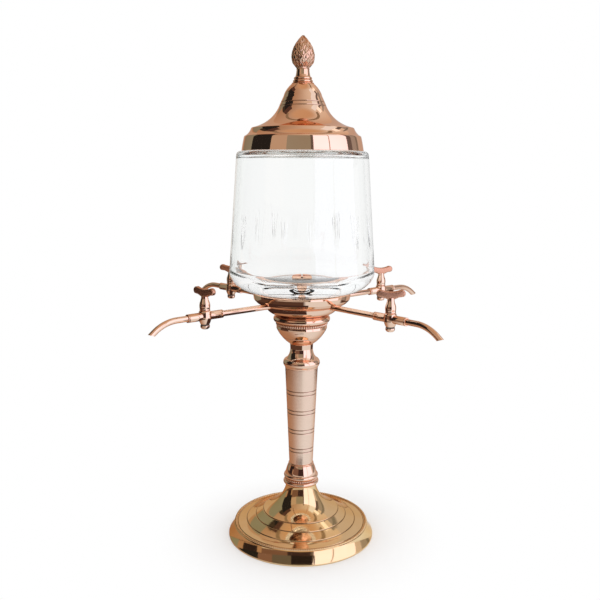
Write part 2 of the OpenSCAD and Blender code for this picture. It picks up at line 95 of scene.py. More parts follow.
LINE_SHAPE = ((-0.62, 0, 0), (-0.5, 0, 0), (-0.3, 1, 1), (0.3, 1, 1), (0.5, 0, 0), (0.62, 0, 0))


def turned_line(p, across, along, inward):
    """A line of that width cut at p: along is the surface's direction there, inward its depth."""
    out = []
    for s, deep, dirt_and_shade in LINE_SHAPE:
        shift = [s * across * a + deep * d for a, d in zip(along, inward)]
        out.append((p[0] + shift[0], p[1] + shift[1], dirt_and_shade))
    return out


# %% [markdown]
# Polished metal shows its shape through its reflections, and a perfectly sharp corner has none.
# A buffing wheel always leaves a small round on each edge, so every corner of a profile gets one.
# Two support points beside it keep the smooth shading from bending the flat faces next to it.

# %% Broken edges
def broken(path, r=0.25, turn=18, steps=3, closed=False):
    """The path with each corner sharper than turn degrees rounded by r. Turned lines stay sharp."""
    pts = [tuple(p) + (0,) * (3 - len(p)) for p in path]
    inner = range(len(pts)) if closed else range(1, len(pts) - 1)
    out = [] if closed else [pts[0]]
    for i in inner:
        a, p, b = pts[i - 1], pts[i], pts[(i + 1) % len(pts)]
        corner = Vector(p[:2])
        u, v = Vector(a[:2]) - corner, Vector(b[:2]) - corner
        if u.length < 1e-4 or v.length < 1e-4:
            continue
        bend = 180 - math.degrees(u.angle(v))
        if bend < turn or max(a[2], p[2], b[2]) > 0.9:
            out.append(p)
            continue
        cut = min(r, 0.3 * u.length, 0.3 * v.length)
        start, end = corner + u.normalized() * cut, corner + v.normalized() * cut
        if u.length > 3 * cut:
            out.append((*(start + u.normalized() * cut * 0.7), p[2]))
        for k in range(steps + 1):
            t = k / steps
            q = start * (1 - t) ** 2 + corner * 2 * t * (1 - t) + end * t * t
            out.append((q.x, q.y, p[2]))
        if v.length > 3 * cut:
            out.append((*(end + v.normalized() * cut * 0.7), p[2]))
    if not closed:
        out.append(pts[-1])
    return out


# %% [markdown]
# One mesh builder serves every round piece. It joins a stack of rings with quads, and where two
# neighbouring rings have different numbers of points it stitches them with triangles, so a
# finely cut band can sit in a plain wall. The third number of each profile point goes into a
# vertex attribute that the metal reads later, to darken the grooves with polish residue and
# painted shade.

# %% Rings to mesh
MM = 0.001


def stitch(low, high, start_low, start_high):
    """Triangles between two closed rings given as (angle, index) in rising order."""
    faces, i, j = [], 0, 0
    n, m = len(low), len(high)
    while i < n or j < m:
        a = start_low[(i + 1) % n] + (360 if i + 1 >= n else 0)
        b = start_high[(j + 1) % m] + (360 if j + 1 >= m else 0)
        if j >= m or (i < n and a <= b):
            faces.append((low[i % n], low[(i + 1) % n], high[j % m]))
            i += 1
        else:
            faces.append((low[i % n], high[(j + 1) % m], high[j % m]))
            j += 1
    return faces


def ring_mesh(name, rings, grooves=None, closed=True, caps=True):
    """A mesh from closed loops of (x, y, z) in millimetres. closed joins the last to the first."""
    verts, index = [], []
    for ring in rings:
        index.append(list(range(len(verts), len(verts) + len(ring))))
        verts += [(x * MM, y * MM, z * MM) for x, y, z in ring]
    faces = []
    pairs = list(zip(range(len(rings)), range(1, len(rings))))
    if closed:
        pairs.append((len(rings) - 1, 0))
    for a, b in pairs:
        low, high = index[a], index[b]
        if len(low) == len(high):
            n = len(low)
            if n == 1:
                continue
            faces += [(low[k], low[(k + 1) % n], high[(k + 1) % n], high[k]) for k in range(n)]
        elif min(len(low), len(high)) == 1:
            tip, loop = (low[0], high) if len(low) == 1 else (high[0], low)
            n = len(loop)
            for k in range(n):
                pair = (loop[(k + 1) % n], loop[k])
                faces.append((tip, *pair) if len(low) == 1 else (tip, *pair[::-1]))
        else:
            ang = [[math.degrees(math.atan2(verts[v][1], verts[v][0])) % 360 for v in loop]
                   for loop in (low, high)]
            faces += stitch(low, high, ang[0], ang[1])
    if caps and not closed:
        for loop, flip in ((index[0], True), (index[-1], False)):
            if len(loop) > 2:
                faces.append(tuple(reversed(loop)) if flip else tuple(loop))
    mesh = bpy.data.meshes.new(name)
    mesh.from_pydata(verts, [], faces)
    depth = mesh.attributes.new("groove", "FLOAT", "POINT")
    if grooves:
        values = [g for ring, g in zip(rings, grooves) for _ in ring]
        depth.data.foreach_set("value", values)
    mesh.validate()
    maker = bmesh.new()
    maker.from_mesh(mesh)
    bmesh.ops.recalc_face_normals(maker, faces=maker.faces)
    maker.to_mesh(mesh)
    maker.free()
    mesh.polygons.foreach_set("use_smooth", [True] * len(mesh.polygons))
    return mesh


def place(mesh, body, slot, at=(0, 0, 0), turn=0, instead_of=(), finish=None):
    """Puts a mesh into the scene at a point in millimetres, turned about Z, riding on a body."""
    mesh.transform(Matrix.Rotation(math.radians(turn), 4, "Z"))
    piece = bpy.data.objects.new(mesh.name, mesh)
    piece["finish"] = finish or slot
    bpy.context.scene.collection.objects.link(piece)
    piece.location = Vector(at) * MM
    bpy.context.view_layer.update()
    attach(piece, body)
    if instead_of:
        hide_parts(*instead_of)
    return piece


def spun(name, profile, steps=192, edge=0.25, along_x=False):
    """A profile swept round Z, or X where along_x is set. Tubes close on themselves."""
    closed = max(profile[0][0], profile[-1][0]) > 1e-4
    path = broken(profile, edge, closed=closed)
    rings, grooves = [], []
    for r, h, g in path:
        count = 1 if r < 1e-4 else steps
        ring = []
        for k in range(count):
            a = 2 * math.pi * k / steps
            x, y = r * math.cos(a), r * math.sin(a)
            ring.append((h, x, y) if along_x else (x, y, h))
        rings.append(ring)
        grooves.append(g)
    return ring_mesh(name, rings, grooves, closed=closed, caps=False)


def joined(name, meshes):
    """Several meshes as one."""
    maker = bmesh.new()
    for m in meshes:
        maker.from_mesh(m)
    whole = bpy.data.meshes.new(name)
    maker.to_mesh(whole)
    maker.free()
    for m in meshes:
        bpy.data.meshes.remove(m)
    return whole


# %% [markdown]
# A row of beads is pressed into metal by a knurling wheel, so the beads touch each other and
# have the wheel's pitch wherever they are. One ring whose thickness swells and shrinks along its
# length gives that, with far fewer faces than hundreds of balls.

# %% Beading
WHEEL_PITCH = 2.45


def beading(name, radius, height, bead_r, per_bead=8, round_it=10):
    """A ring of touching beads."""
    rings, gaps, count = [], [], round(2 * math.pi * radius / WHEEL_PITCH)
    for k in range(count * per_bead):
        a = 2 * math.pi * k / (count * per_bead)
        along = 2 * (k % per_bead) / per_bead - 1
        size = bead_r * math.sqrt(max(0.16, 1 - along * along))
        ring = []
        for j in range(round_it):
            b = -2 * math.pi * j / round_it
            r = radius + size * math.cos(b)
            ring.append((r * math.cos(a), r * math.sin(a), height + size * math.sin(b)))
        rings.append(ring)
        # The gaps between beads get a groove value, which darkens them with painted shade.
        gaps.append(abs(along) ** 3)
    return ring_mesh(name, rings, gaps, closed=True)


# %% [markdown]
# The sizes below are those of the CAD model. They are written once, in millimetres, and every
# profile that follows is built from them. Each tap has its arm's direction and the turn of its
# key against the arm, in degrees: three of the four are shut, and rear right is a little open.

# %% Sizes
FOOT_R, FOOT_H, DISH_H, DISH_BOW, RIM_H, RIM_R, RIM_BEAD = 82.5, 60, 29, 1.7, 14.5, 76, 3
RING_A, RING_B, RING_C, TRUMPET_R, FOOT_WALL, BOSS_R, BOSS_Z = 43, 51.5, 62, 16.5, 3, 9, 24
COLLAR_R, COLLAR_H, STEM_H, STEM_LOW_R, STEM_TOP_R, STEM_BORE_R = 20, 24.5, 111, 13.3, 18.2, 9.5
LINE_LOW, LINE_PITCH, LINE_GAP = 17, 22.3, 4
KNOP_R, KNOP_H, NECK_R, BOWL_R, BOWL_H = 20.4, 27, 12.5, 31.3, 33
CUP_R, CUP_H, CUP_WALL, FIT, RUN_GAP = 53.4, 24.7, 2.2, 0.06, 0.3
GLASS_H, GLASS_LOW_R, GLASS_TOP_R, GLASS_WALL, GLASS_FLOOR = 151, 79, 70.5, 4, 11
MOUTH_R, MOUTH_H, GASKET_R, STUD_R, ROD_R = 61.5, 8.5, 42, 6, 4
LID_R, SKIRT_H, LEDGE_R, LID_H, LID_WALL, FINIAL_FOOT_R = 64.9, 15.4, 54, 69.2, 1.2, 11.8
CONE_R, CONE_H, FINIAL_FOOT_H = 12.2, 32, 17
TAP_REACH, ARM_ANGLE, ARM_RISE, TUBE_R, TUBE_WALL, BARREL_R = 129, 42, 13.7, 3, 1, 6.4
SOCKET_X, SOCKET_R, SOCKET_D, PLUG_TOP_R, PLUG_LOW_R = 21, 4.2, 9, 4, 3.3
BARREL_TOP, BARREL_FOOT, SEAT_R, THREAD_R = 5.6, 7.8, 5.3, 2
NUT_R, NUT_H, NUT_DOME, TAP_WASHER_T, WASHER_GAP = 4.7, 3.9, 2.8, 1, 0.2
VASE_H, HANDLE_W, HANDLE_T, HANDLE_H = 13.6, 28.2, 5, 7.4
BEND_R, BEND_ANGLE, SPOUT_RUN, SPOUT_TIP, ARM_START = 42, 38, 11.5, 1.5, 14.5

COLLAR_Z = FOOT_H
STEM_Z = COLLAR_Z + COLLAR_H
KNOP_Z = STEM_Z + STEM_H
BOWL_Z = KNOP_Z + KNOP_H
CUP_Z = BOWL_Z + BOWL_H
ARM_Z = CUP_Z + ARM_RISE
GLASS_Z = CUP_Z + CUP_H + RUN_GAP
SHOULDER_Z = GLASS_Z + GLASS_H
LID_Z = SHOULDER_Z + RUN_GAP
FINIAL_Z = LID_Z + LID_H
VASE_Z = BARREL_TOP + RUN_GAP
NUT_FOOT = BARREL_FOOT + WASHER_GAP + TAP_WASHER_T + NUT_H
TAPS = {"front_left": (180 + ARM_ANGLE, 98), "front_right": (270 + ARM_ANGLE, 48),
        "rear_right": (ARM_ANGLE, 158), "rear_left": (90 + ARM_ANGLE, 33)}
print("height", FINIAL_Z + FINIAL_FOOT_H + CONE_H, "mm")

# %% [markdown]
# ## The foot
# The foot is one disc of brass, spun over a wooden former: a trumpet in the middle, a dished
# plate with three turned rings, a rolled rim and a flared skirt. It is hollow underneath, where
# the nut that holds the column sits. The rolled rim is beaded all round, so it is left a little
# slimmer here and the beading goes over it.

# %% Foot
def dish(r, sink=0):
    """Point on the dished plate at radius r."""
    slope = ((RIM_R - r) / (RIM_R - RING_A)) ** DISH_BOW
    return (r, RIM_H + (DISH_H - RIM_H) * slope - sink)


def dish_line(r, across):
    """A turned line on the plate, cut square to its slope."""
    run = Vector(dish(r + 0.5)) - Vector(dish(r - 0.5))
    along = run.normalized()
    return turned_line(dish(r), across, along, (along.y * 0.6, -along.x * 0.6))


bead, plate_r = RIM_BEAD / 2, RIM_R - RIM_BEAD - 0.8
ALONG_RING = (0.15, 0.3, 0.45, 0.6, 0.75, 0.88)
trumpet = sweep((TRUMPET_R, FOOT_H), (TRUMPET_R + 3.5, DISH_H + 9), dish(RING_A), 48)[:-1]
plate = []
for ring_r, next_r in ((RING_A, RING_B), (RING_B, RING_C), (RING_C, plate_r)):
    plate += dish_line(ring_r, 1.3)
    plate += [dish(ring_r + (next_r - ring_r) * t) for t in ALONG_RING]
plate += dish_line(plate_r, 1.1)
skirt = sweep((RIM_R + 0.4, RIM_H - 1), (RIM_R + 2.5, RIM_H * 0.45), (FOOT_R, 1.6), 20)
top_side = [(ROD_R + RUN_GAP, FOOT_H)] + trumpet + plate
top_side += arc((RIM_R - bead, RIM_H), bead * 0.75, bead * 0.75, 170, -20, 10) + skirt + [(FOOT_R, 0)]
hollow = sweep((BOSS_R, FOOT_H - 10), (TRUMPET_R, DISH_H + 5), dish(RING_A, FOOT_WALL), 20)
under_side = [(FOOT_R - FOOT_WALL, 0), (FOOT_R - FOOT_WALL, 1.6), (RIM_R - FOOT_WALL, RIM_H - FOOT_WALL)]
under_side += [dish(RING_C, FOOT_WALL), dish(RING_B, FOOT_WALL)] + hollow[::-1]
under_side += [(BOSS_R, BOSS_Z), (ROD_R + RUN_GAP, BOSS_Z)]
foot = place(spun("foot_spun", top_side + under_side, steps=288), "stand", "gilt", instead_of=["foot"])
rim = place(beading("foot_beading", RIM_R - bead, RIM_H, bead), "stand", "gilt")
print(len(foot.data.vertices), "points in the foot,", len(rim.data.vertices), "in its beading")

# %% [markdown]
# ## The column
# Collar, stem, knop and bowl are turned from thick tube and clamped on one rod. The collar is
# the lowest: two round rings with a beaded strip between them, a bell, and a thin lip that holds
# the stem. The strip is cut in a little and takes the same beading as the foot's rim.

# %% Collar
RING_T, STRIP_H, STRIP_IN, STRIP_BEAD, LIP_H = 4.4, 2.8, 2.6, 1.3, 1.8
ring_in, ring_half = 1.8, RING_T / 2
bell_z, lip_z = 2 * RING_T + STRIP_H, COLLAR_H - LIP_H
strip_r = COLLAR_R - STRIP_IN
collar_side = [(ROD_R, 0), (COLLAR_R - ring_in, 0)]
collar_side += arc((COLLAR_R - ring_in, ring_half), ring_in, ring_half, -85, 85)
# The strip under the beading carries a groove value that darkens it with painted shade.
collar_side += [(strip_r, RING_T + 0.3, 0.8), (strip_r, RING_T + STRIP_H - 0.3, 0.8)]
collar_side += arc((COLLAR_R - 2.2, RING_T + STRIP_H + ring_half), 1.6, ring_half, -85, 85)
collar_side += sweep((COLLAR_R - 2.3, bell_z), (COLLAR_R - 3, bell_z + 5), (STEM_LOW_R + 1, lip_z), 24)
collar_side += arc((STEM_LOW_R, lip_z + LIP_H / 2), 1, LIP_H / 2, -60, 80, 8) + [(ROD_R, COLLAR_H)]
place(spun("collar_turned", collar_side), "stand", "copper", at=(0, 0, COLLAR_Z), instead_of=["collar"])
bead_z = COLLAR_Z + RING_T + STRIP_H / 2
place(beading("collar_beading", strip_r, bead_z, STRIP_BEAD), "stand", "copper")
print("collar", COLLAR_H, "mm high")

# %% [markdown]
# The stem is a long slim taper, drawn from tube and rubbed down with fine cloth, so it is softer
# in its shine than its neighbours. Four pairs of lines are cut into it with a pointed tool. They
# are real grooves here, because what shows of them in a polished part is how they mirror the room.

# %% Stem
def stem_r(z):
    """Radius of the stem at height z above its lower end."""
    return STEM_LOW_R + (STEM_TOP_R - STEM_LOW_R) * z / STEM_H


stem_side = [(STEM_BORE_R, 0), (STEM_LOW_R, 0)]
pairs = math.floor((STEM_H - LINE_LOW) / LINE_PITCH - 0.5) + 1
for pair in range(pairs):
    for side in (-1, 1):
        z = LINE_LOW + pair * LINE_PITCH + side * LINE_GAP / 2
        stem_side += turned_line((stem_r(z), z), 1.1, (0, 1), (-0.45, 0))
stem_side += [(STEM_TOP_R, STEM_H), (STEM_BORE_R, STEM_H)]
stem = spun("stem_drawn", stem_side)
place(stem, "stand", "copper", at=(0, 0, STEM_Z), instead_of=["stem"], finish="brushed copper")
print(pairs, "pairs of lines")

# %% [markdown]
# The knop is a heavy ring that closes the stem and sweeps in to a neck. Its edge is an arc, and
# a hollow curve carries it up to the neck under the bowl.

# %% Knop
KNOP_MID = 5.6
knop_side = [(ROD_R, 0), (KNOP_R - 2, 0)] + arc((KNOP_R - 4, KNOP_MID), 4, 5, -55, 65, 20)
knop_side += sweep((KNOP_R - 3.2, KNOP_MID + 4.9), (NECK_R + 0.4, KNOP_MID + 8.5),
                   (NECK_R, KNOP_MID + 16), 28)
knop_side += [(NECK_R + 0.3, KNOP_H), (ROD_R, KNOP_H)]
place(spun("knop_turned", knop_side), "stand", "copper", at=(0, 0, KNOP_Z), instead_of=["knop"])
print("knop", 2 * KNOP_R, "mm across")

# %% [markdown]
# The bowl widens from the neck to the cup. It has one turned line half way up, a beaded strip and
# a round moulding on top. The line is cut square to the bowl's own curve.

# %% Bowl
BAND_H, BAND_BEAD = 3.6, 1.4
band_z, side_r = BOWL_H - 12, BOWL_R - 3.3
mould = (BOWL_H - band_z - BAND_H - 0.8) / 2
strip_r = side_r - 0.7
wall = sweep((NECK_R + 0.3, 0), (side_r - 5, band_z * 0.33), (side_r, band_z - 3), 32)
half = len(wall) // 2
along = (Vector(wall[half + 1]) - Vector(wall[half - 1])).normalized()
line = turned_line(wall[half], 1.0, along, (-along.y * 0.4, along.x * 0.4))
bowl_side = [(ROD_R, 0)] + wall[:half] + line + wall[half + 1:]
# The strip under the beading carries a groove value that darkens it with painted shade.
bowl_side += [(side_r, band_z), (strip_r, band_z + 0.4, 0.8), (strip_r, band_z + BAND_H - 0.4, 0.8)]
bowl_side += [(side_r, band_z + BAND_H)]
bowl_side += arc((BOWL_R - 3.8, band_z + BAND_H + mould), 3.8, mould, -80, 80, 24)
bowl_side += [(BOWL_R - 2.3, BOWL_H), (ROD_R, BOWL_H)]
place(spun("bowl_turned", bowl_side, steps=224), "stand", "copper", at=(0, 0, BOWL_Z), instead_of=["bowl"])
bead_z = BOWL_Z + band_z + BAND_H / 2
place(beading("bowl_beading", strip_r, bead_z, BAND_BEAD), "stand", "copper")
print("bowl", 2 * BOWL_R, "mm across")

# %% [markdown]
# ## The cup
# The cup is spun in two rounded steps. The upper one is reeded: three shallow hollows with sharp
# ridges between them, which catch thin bright lines. The arms go through its wall, and the
# glass stands inside its rim.

# %% Cup
STEP_Z, STEP_IN, STEP_ROUND, WALL_Z = 10, 13.9, 15.5, 21.8
low_r = CUP_R - STEP_IN
step_mid, wall_mid = (low_r - STEP_ROUND, STEP_Z), (low_r - 3.5, WALL_Z)
top_rx, top_ry = CUP_R - wall_mid[0], WALL_Z - STEP_Z
REEDS, REED_DEPTH = [-64, -48, -32, -14], 14
cup_side = [(ROD_R, 0)] + arc(step_mid, STEP_ROUND, STEP_Z, -72, 0, 24) + [(low_r + 1.5, STEP_Z + 0.1)]
for start, end in zip(REEDS, REEDS[1:]):
    low_s, high_s = math.sin(math.radians(start)), math.sin(math.radians(end))
    for x, y in arc((0, 0), 1, 1, start, end, 12):
        swell = (y - low_s) * (high_s - y) * REED_DEPTH
        cup_side.append((wall_mid[0] + (top_rx + swell) * x, wall_mid[1] + (top_ry + swell) * y))
inside_r = CUP_R - CUP_WALL - 0.6
cup_side += [(CUP_R, WALL_Z), (CUP_R, CUP_H - 0.6), (CUP_R - 0.6, CUP_H), (inside_r, CUP_H)]
cup_side += [(inside_r, CUP_H - 1.7), (ROD_R, CUP_H - 1.7)]
cup = spun("cup_spun", cup_side, steps=256, edge=0.15)
place(cup, "stand", "copper", at=(0, 0, CUP_Z), instead_of=["cup"])
print(len(REEDS) - 1, "reeds on the cup")

# %% [markdown]
# ## The reservoir
# The glass is blown into a mould, with a heavy floor and a shoulder for the lid. Then a wheel
# cuts sprays of three V-shaped leaves round the wall. A cut reads as crisp only if the mesh has
# a row of edges along its bottom and its two lips, so in the cut band the columns of the mesh
# follow the leaves instead of running straight up.

# %% Cuts in the glass
SPRAYS, FIRST_SPRAY, CUT_LOW, CUT_HIGH, CUT_ROWS = 18, 16.6, 50, 86, 40
LEAVES = ((-1, 1.0), (0, 0.94), (1, 1.0))


def cut_ring(z, wall_r):
    """(angle, depth) round the glass at height z: three leaves in each spray, plain glass between."""
    t = (z - CUT_LOW) / (CUT_HIGH - CUT_LOW)
    fan = 0.9 + 1.9 * t
    columns = [(-10, 0), (-8, 0), (-5.5, 0)]
    for leaf, reach in LEAVES:
        s = min(max(t / reach, 0), 1)
        half = 0.02 + 0.75 * math.sin(math.pi * s ** 1.2) ** 0.9
        mid = leaf * fan
        deep = math.radians(half - 0.02) * wall_r * 0.5
        columns += [(mid - half, 0), (mid, deep), (mid + half, 0)]
    columns += [(5.5, 0), (8, 0)]
    return [(FIRST_SPRAY + 360 * k / SPRAYS + a, d) for k in range(SPRAYS) for a, d in columns]


def glass_ring(r, z, cuts=None, steps=180):
    """One ring of the reservoir, plain or with the cuts taken out of it."""
    spots = cuts or [(360 * k / steps, 0) for k in range(steps)]
    spots = sorted(((a % 360, d) for a, d in spots))
    return [((r - d) * math.cos(math.radians(a)), (r - d) * math.sin(math.radians(a)), z) for a, d in spots]


print(SPRAYS * len(LEAVES), "leaves to cut")

# %% [markdown]
# The profile goes up the outside, over the rim and down the inside. Under its floor such a glass
# stands on a narrow ground ring, and inside that ring it is hollowed by a few tenths of a
# millimetre. The air in that hollow is what makes the thick floor mirror the room like silver.

# %% Glass walls
heel = (CUP_R - 8.4, 23.5)
heel_in = (heel[0] + 3, GLASS_FLOOR + 14.5)
low_in, top_in, mouth_in = GLASS_LOW_R - GLASS_WALL, GLASS_TOP_R - GLASS_WALL, MOUTH_R - GLASS_WALL + 0.5
SHOULDER, KICK = 4.5, 0.5
BELOW_CUTS, ABOVE_CUTS = (30, 38, 46), (92, 104, 116, 128, 138)
wall_top = GLASS_H - SHOULDER
stud_hole = STUD_R + RUN_GAP


def wall_r(z):
    """Radius of the straight outer wall at height z above the glass's underside."""
    return GLASS_LOW_R + (GLASS_TOP_R - GLASS_LOW_R) * (z - heel[1]) / (wall_top - heel[1])


outside = [(stud_hole, KICK), (GASKET_R + 0.6, KICK), (GASKET_R + 1.2, 0)]
outside += arc(heel, GLASS_LOW_R - heel[0], heel[1], -90, 0, 44)
rings = [glass_ring(r, z) for r, z, g in broken(outside, 0.3)]
rings += [glass_ring(wall_r(z), z) for z in BELOW_CUTS]
for k in range(CUT_ROWS + 1):
    z = CUT_LOW + (CUT_HIGH - CUT_LOW) * k / CUT_ROWS
    rings.append(glass_ring(wall_r(z), z, cut_ring(z, wall_r(z))))
rings += [glass_ring(wall_r(z), z) for z in ABOVE_CUTS]
rim_top, in_top = GLASS_H + MOUTH_H, wall_top - GLASS_WALL
rim_path = arc((GLASS_TOP_R - SHOULDER, wall_top), SHOULDER, SHOULDER, 0, 90, 18)
rim_path += [(MOUTH_R, GLASS_H), (MOUTH_R, rim_top - 1)] + arc((MOUTH_R - 1, rim_top - 1), 1, 1, 0, 90, 6)
rim_path += [(mouth_in + 0.4, rim_top), (mouth_in, rim_top - 0.6)]
rim_path += sweep((mouth_in, GLASS_H - 1.5), (top_in, GLASS_H - GLASS_WALL), (top_in, in_top), 18)
for t in (0.2, 0.4, 0.6, 0.8):
    rim_path.append((top_in + (low_in - top_in) * t, in_top + (heel_in[1] - in_top) * t))
rim_path += arc(heel_in, low_in - heel_in[0], heel_in[1] - GLASS_FLOOR, 0, -90, 36)
rim_path.append((stud_hole, GLASS_FLOOR))
rings += [glass_ring(r, z) for r, z, g in broken(rim_path, 0.3)]
glass_mesh = ring_mesh("reservoir_cut", rings, closed=True)


def crease(mesh, turn):
    """Marks the edges where the surface turns by more than that many degrees."""
    maker = bmesh.new()
    maker.from_mesh(mesh)
    for edge in maker.edges:
        edge.smooth = not (len(edge.link_faces) == 2 and edge.calc_face_angle(0) > math.radians(turn))
    maker.to_mesh(mesh)
    maker.free()


crease(glass_mesh, turn=12)
place(glass_mesh, "stand", "glass", at=(0, 0, GLASS_Z), instead_of=["reservoir"])
print(len(glass_mesh.vertices), "points in the glass")

# %% [markdown]
# ## The lid
# The lid is spun from thin sheet: a flared skirt, a hollow chamfer, a ledge, a dome that draws in
# and a round crown. Two lines are scribed on the crown. Its inside is the same path, moved in by
# the thickness of the sheet. Copper that meets food is tinned, so the inside is marked for that.

# %% Lid
WAIST, CROWN, BAND, TINNED = (25, 46.2), (20.2, 57), 4.2, -1
lid_side = sweep((LID_R, 0), (LID_R - 1.4, SKIRT_H * 0.6), (LID_R - 2.8, SKIRT_H - 0.8), 10)
lid_side += [(LID_R - 3.3, SKIRT_H)]
lid_side += sweep((LID_R - 3.9, SKIRT_H + 0.2), (LEDGE_R + 2.8, SKIRT_H + 2.6),
                  (LEDGE_R + 0.6, SKIRT_H + 8), 16)
lid_side += sweep((LEDGE_R, SKIRT_H + 8.6), (WAIST[0] + 8, 29), WAIST, 48)[:-1]
sheet = lid_side[:]
lean = (CROWN[0] - WAIST[0] + 0.6, CROWN[1] - WAIST[1] - 1.2)
lean = [v / math.hypot(*lean) for v in lean]
for step in (0, 1):
    p = (WAIST[0] - 0.1 + step * BAND * lean[0], WAIST[1] + 0.5 + step * BAND * lean[1])
    lid_side += turned_line(p, 0.9, lean, (-lean[1] * 0.35, lean[0] * 0.35))
crown = sweep(CROWN, (CROWN[0] - 1.9, CROWN[1] + 6.5), (FINIAL_FOOT_R, LID_H), 24)
lid_side += [(crown[0][0] - lean[0] * 3, crown[0][1] - lean[1] * 3)] + crown


def inside_of(path, t):
    """The same path moved in by t, for the other face of a sheet."""
    out = []
    for i, p in enumerate(path):
        a, b = path[max(i - 1, 0)], path[min(i + 1, len(path) - 1)]
        run = math.hypot(b[0] - a[0], b[1] - a[1])
        out.append((p[0] - t * abs(b[1] - a[1]) / run, p[1] - t * abs(b[0] - a[0]) / run))
    return out


lining = [(*p, TINNED) for p in inside_of(sheet + crown, LID_WALL)[::-1]]
hole_r = THREAD_R + RUN_GAP + 0.5
lid_whole = lid_side + [(hole_r, LID_H), (hole_r, LID_H - LID_WALL)] + lining
place(spun("lid_spun", lid_whole, steps=288), "lid", "copper", at=(0, 0, LID_Z), instead_of=["lid"])
print("lid", LID_H, "mm high in", LID_WALL, "mm sheet")

# %% [markdown]
# ## The finial
# A turned foot with two thin rings and a narrow neck carries a bud of overlapping leaves. The
# real one is cast and then chased. Its leaves stand in staggered rows, and each is a shallow
# pointed arch with a raised rim and a rib down its middle. The turned part comes first, with the
# bud's core sunk a little, so that the leaves can be laid over it.

# %% Finial
NECK, SINK, STUD_L = 6.6, 0.9, 7
THIN_RINGS = ((1.2, 2.3), (4.1, 3.2))   # height of each and how far it is set in
stud_r, stud_low = THREAD_R + 0.5, -LID_WALL - STUD_L
bud_low, bud_mid, bud_top = FINIAL_FOOT_H, FINIAL_FOOT_H + 10, FINIAL_FOOT_H + CONE_H
finial_side = [(0, stud_low), (stud_r, stud_low), (stud_r, 0), (FINIAL_FOOT_R - 0.5, 0)]
finial_side += [(FINIAL_FOOT_R, 0.4), (FINIAL_FOOT_R - 0.2, 0.9), (FINIAL_FOOT_R - 1.4, 1.1)]
# The crease under each thin ring gets a groove value, which darkens it with painted shade.
for low, set_in in THIN_RINGS:
    ring_r = FINIAL_FOOT_R - set_in
    finial_side += arc((ring_r, low + 1.4), 1, 1.3, -80, 80, 12) + [(ring_r - 0.3, low + 2.8, 1)]
finial_side += sweep((FINIAL_FOOT_R - 3.6, 7), (NECK + 0.5, 9), (NECK, bud_low - 1.5), 14)
finial_side.append((NECK + 0.2, bud_low - 0.4))
bud_side = sweep((NECK + 0.6, bud_low), (CONE_R, bud_low + 3.5), (CONE_R, bud_mid), 24)
bud_side += sweep((CONE_R, bud_mid), (CONE_R, bud_mid + CONE_H * 0.34), (1.2, bud_top - 0.4), 40)[1:]
# The bud's core between the leaves is darkened with painted shade through its groove value.
core = [(max(r - SINK * min(1, k / 6), 0.4), z, 1) for k, (r, z) in enumerate(bud_side)]
finial_side += core + [(0, bud_top - 0.4)]
print("bud", 2 * CONE_R, "mm across")

# %% [markdown]
# A leaf is a stack of loops, all of the same pointed arch. From loop to loop it is drawn in,
# faster across than along, so that the last loop is the narrow rib. A layer says how far the arch
# is drawn in across and along, how high it stands over the bud, and how much residue and painted
# shade it holds.
# Each leaf leans out towards its tip, and that is what makes one row seem to lie over the next.

# %% Leaves of the bud
LEAF_PITCH, LEAF_TALL, LEAVES_ROUND, LEAN_OUT = 4.1, 7.2, 10, 0.45
ARCH = [(0.5, 0.0), (0.54, 0.3), (0.47, 0.55), (0.3, 0.8), (0.1, 0.96), (0, 1.02)]
ARCH += [(-u, v) for u, v in ARCH[-2::-1]] + [(0, -0.1)]
LEAF_LAYERS = ((1, 1, -SINK, 1), (0.96, 0.97, -0.15, 0.3), (0.82, 0.88, 0.08, 0), (0.6, 0.76, -0.25, 0.4),
               (0.2, 0.62, -0.3, 0.4), (0.05, 0.5, 0.05, 0))


def bud_r(z):
    """Radius of the bud at height z."""
    for a, b in zip(bud_side, bud_side[1:]):
        if a[1] <= z <= b[1]:
            return a[0] + (b[0] - a[0]) * (z - a[1]) / max(b[1] - a[1], 1e-6)
    return bud_side[0][0] if z < bud_low else bud_side[-1][0]


def leaf(angle, z, wide, tall):
    """One leaf of the bud, with its foot at height z."""
    loops = []
    for across, along, lift, dirt_and_shade in LEAF_LAYERS:
        loop = []
        for u, v in ARCH:
            v = 0.45 + (v - 0.45) * along
            h = min(z + v * tall, bud_top - 0.05)
            r = max(bud_r(h) + lift + LEAN_OUT * (v - 0.7), 0.15)
            a = angle + u * across * wide / max(bud_r(z + 0.4 * tall), 0.8)
            loop.append((r * math.cos(a), r * math.sin(a), h))
        loops.append(loop)
    return ring_mesh("leaf", loops, [layer[3] for layer in LEAF_LAYERS], closed=False)


leaves, row, z = [], 0, bud_low - 2.2
while z < bud_top - LEAF_PITCH:
    tall = min(LEAF_TALL, bud_top - z)
    here = bud_r(z + 0.4 * tall)
    count = LEAVES_ROUND if here > CONE_R / 2 else LEAVES_ROUND // 2 + 1
    step = 2 * math.pi / count
    for k in range(count):
        leaves.append(leaf(step * (k + 0.5 * (row % 2)), z, step * here, tall))
    z, row = z + LEAF_PITCH, row + 1
finial_mesh = joined("finial_cast", [spun("finial_core", finial_side, steps=128, edge=0.2)] + leaves)
crease(finial_mesh, turn=38)
place(finial_mesh, "lid", "copper", at=(0, 0, FINIAL_Z), instead_of=["finial"], finish="cast copper")
print(row, "rows and", len(leaves), "leaves on the bud")

# %% [markdown]
# ## Arms and taps
# Each arm is a plain tube that goes from the water block, through the cup's wall, into a socket
# of its tap. A tap is a cast barrel with a socket on each side and a tapered bore through it. The
# pieces of a tap are made round their own centre and then placed, so that the turning marks on
# them run round their own axes. Each socket has one V-shaped groove behind its lip.

# %% Arms and tap bodies
def at_tap(name):
    """Where a tap's centre is, in millimetres, and its arm's direction."""
    a = math.radians(TAPS[name][0])
    return (TAP_REACH * math.cos(a), TAP_REACH * math.sin(a), ARM_Z), TAPS[name][0]


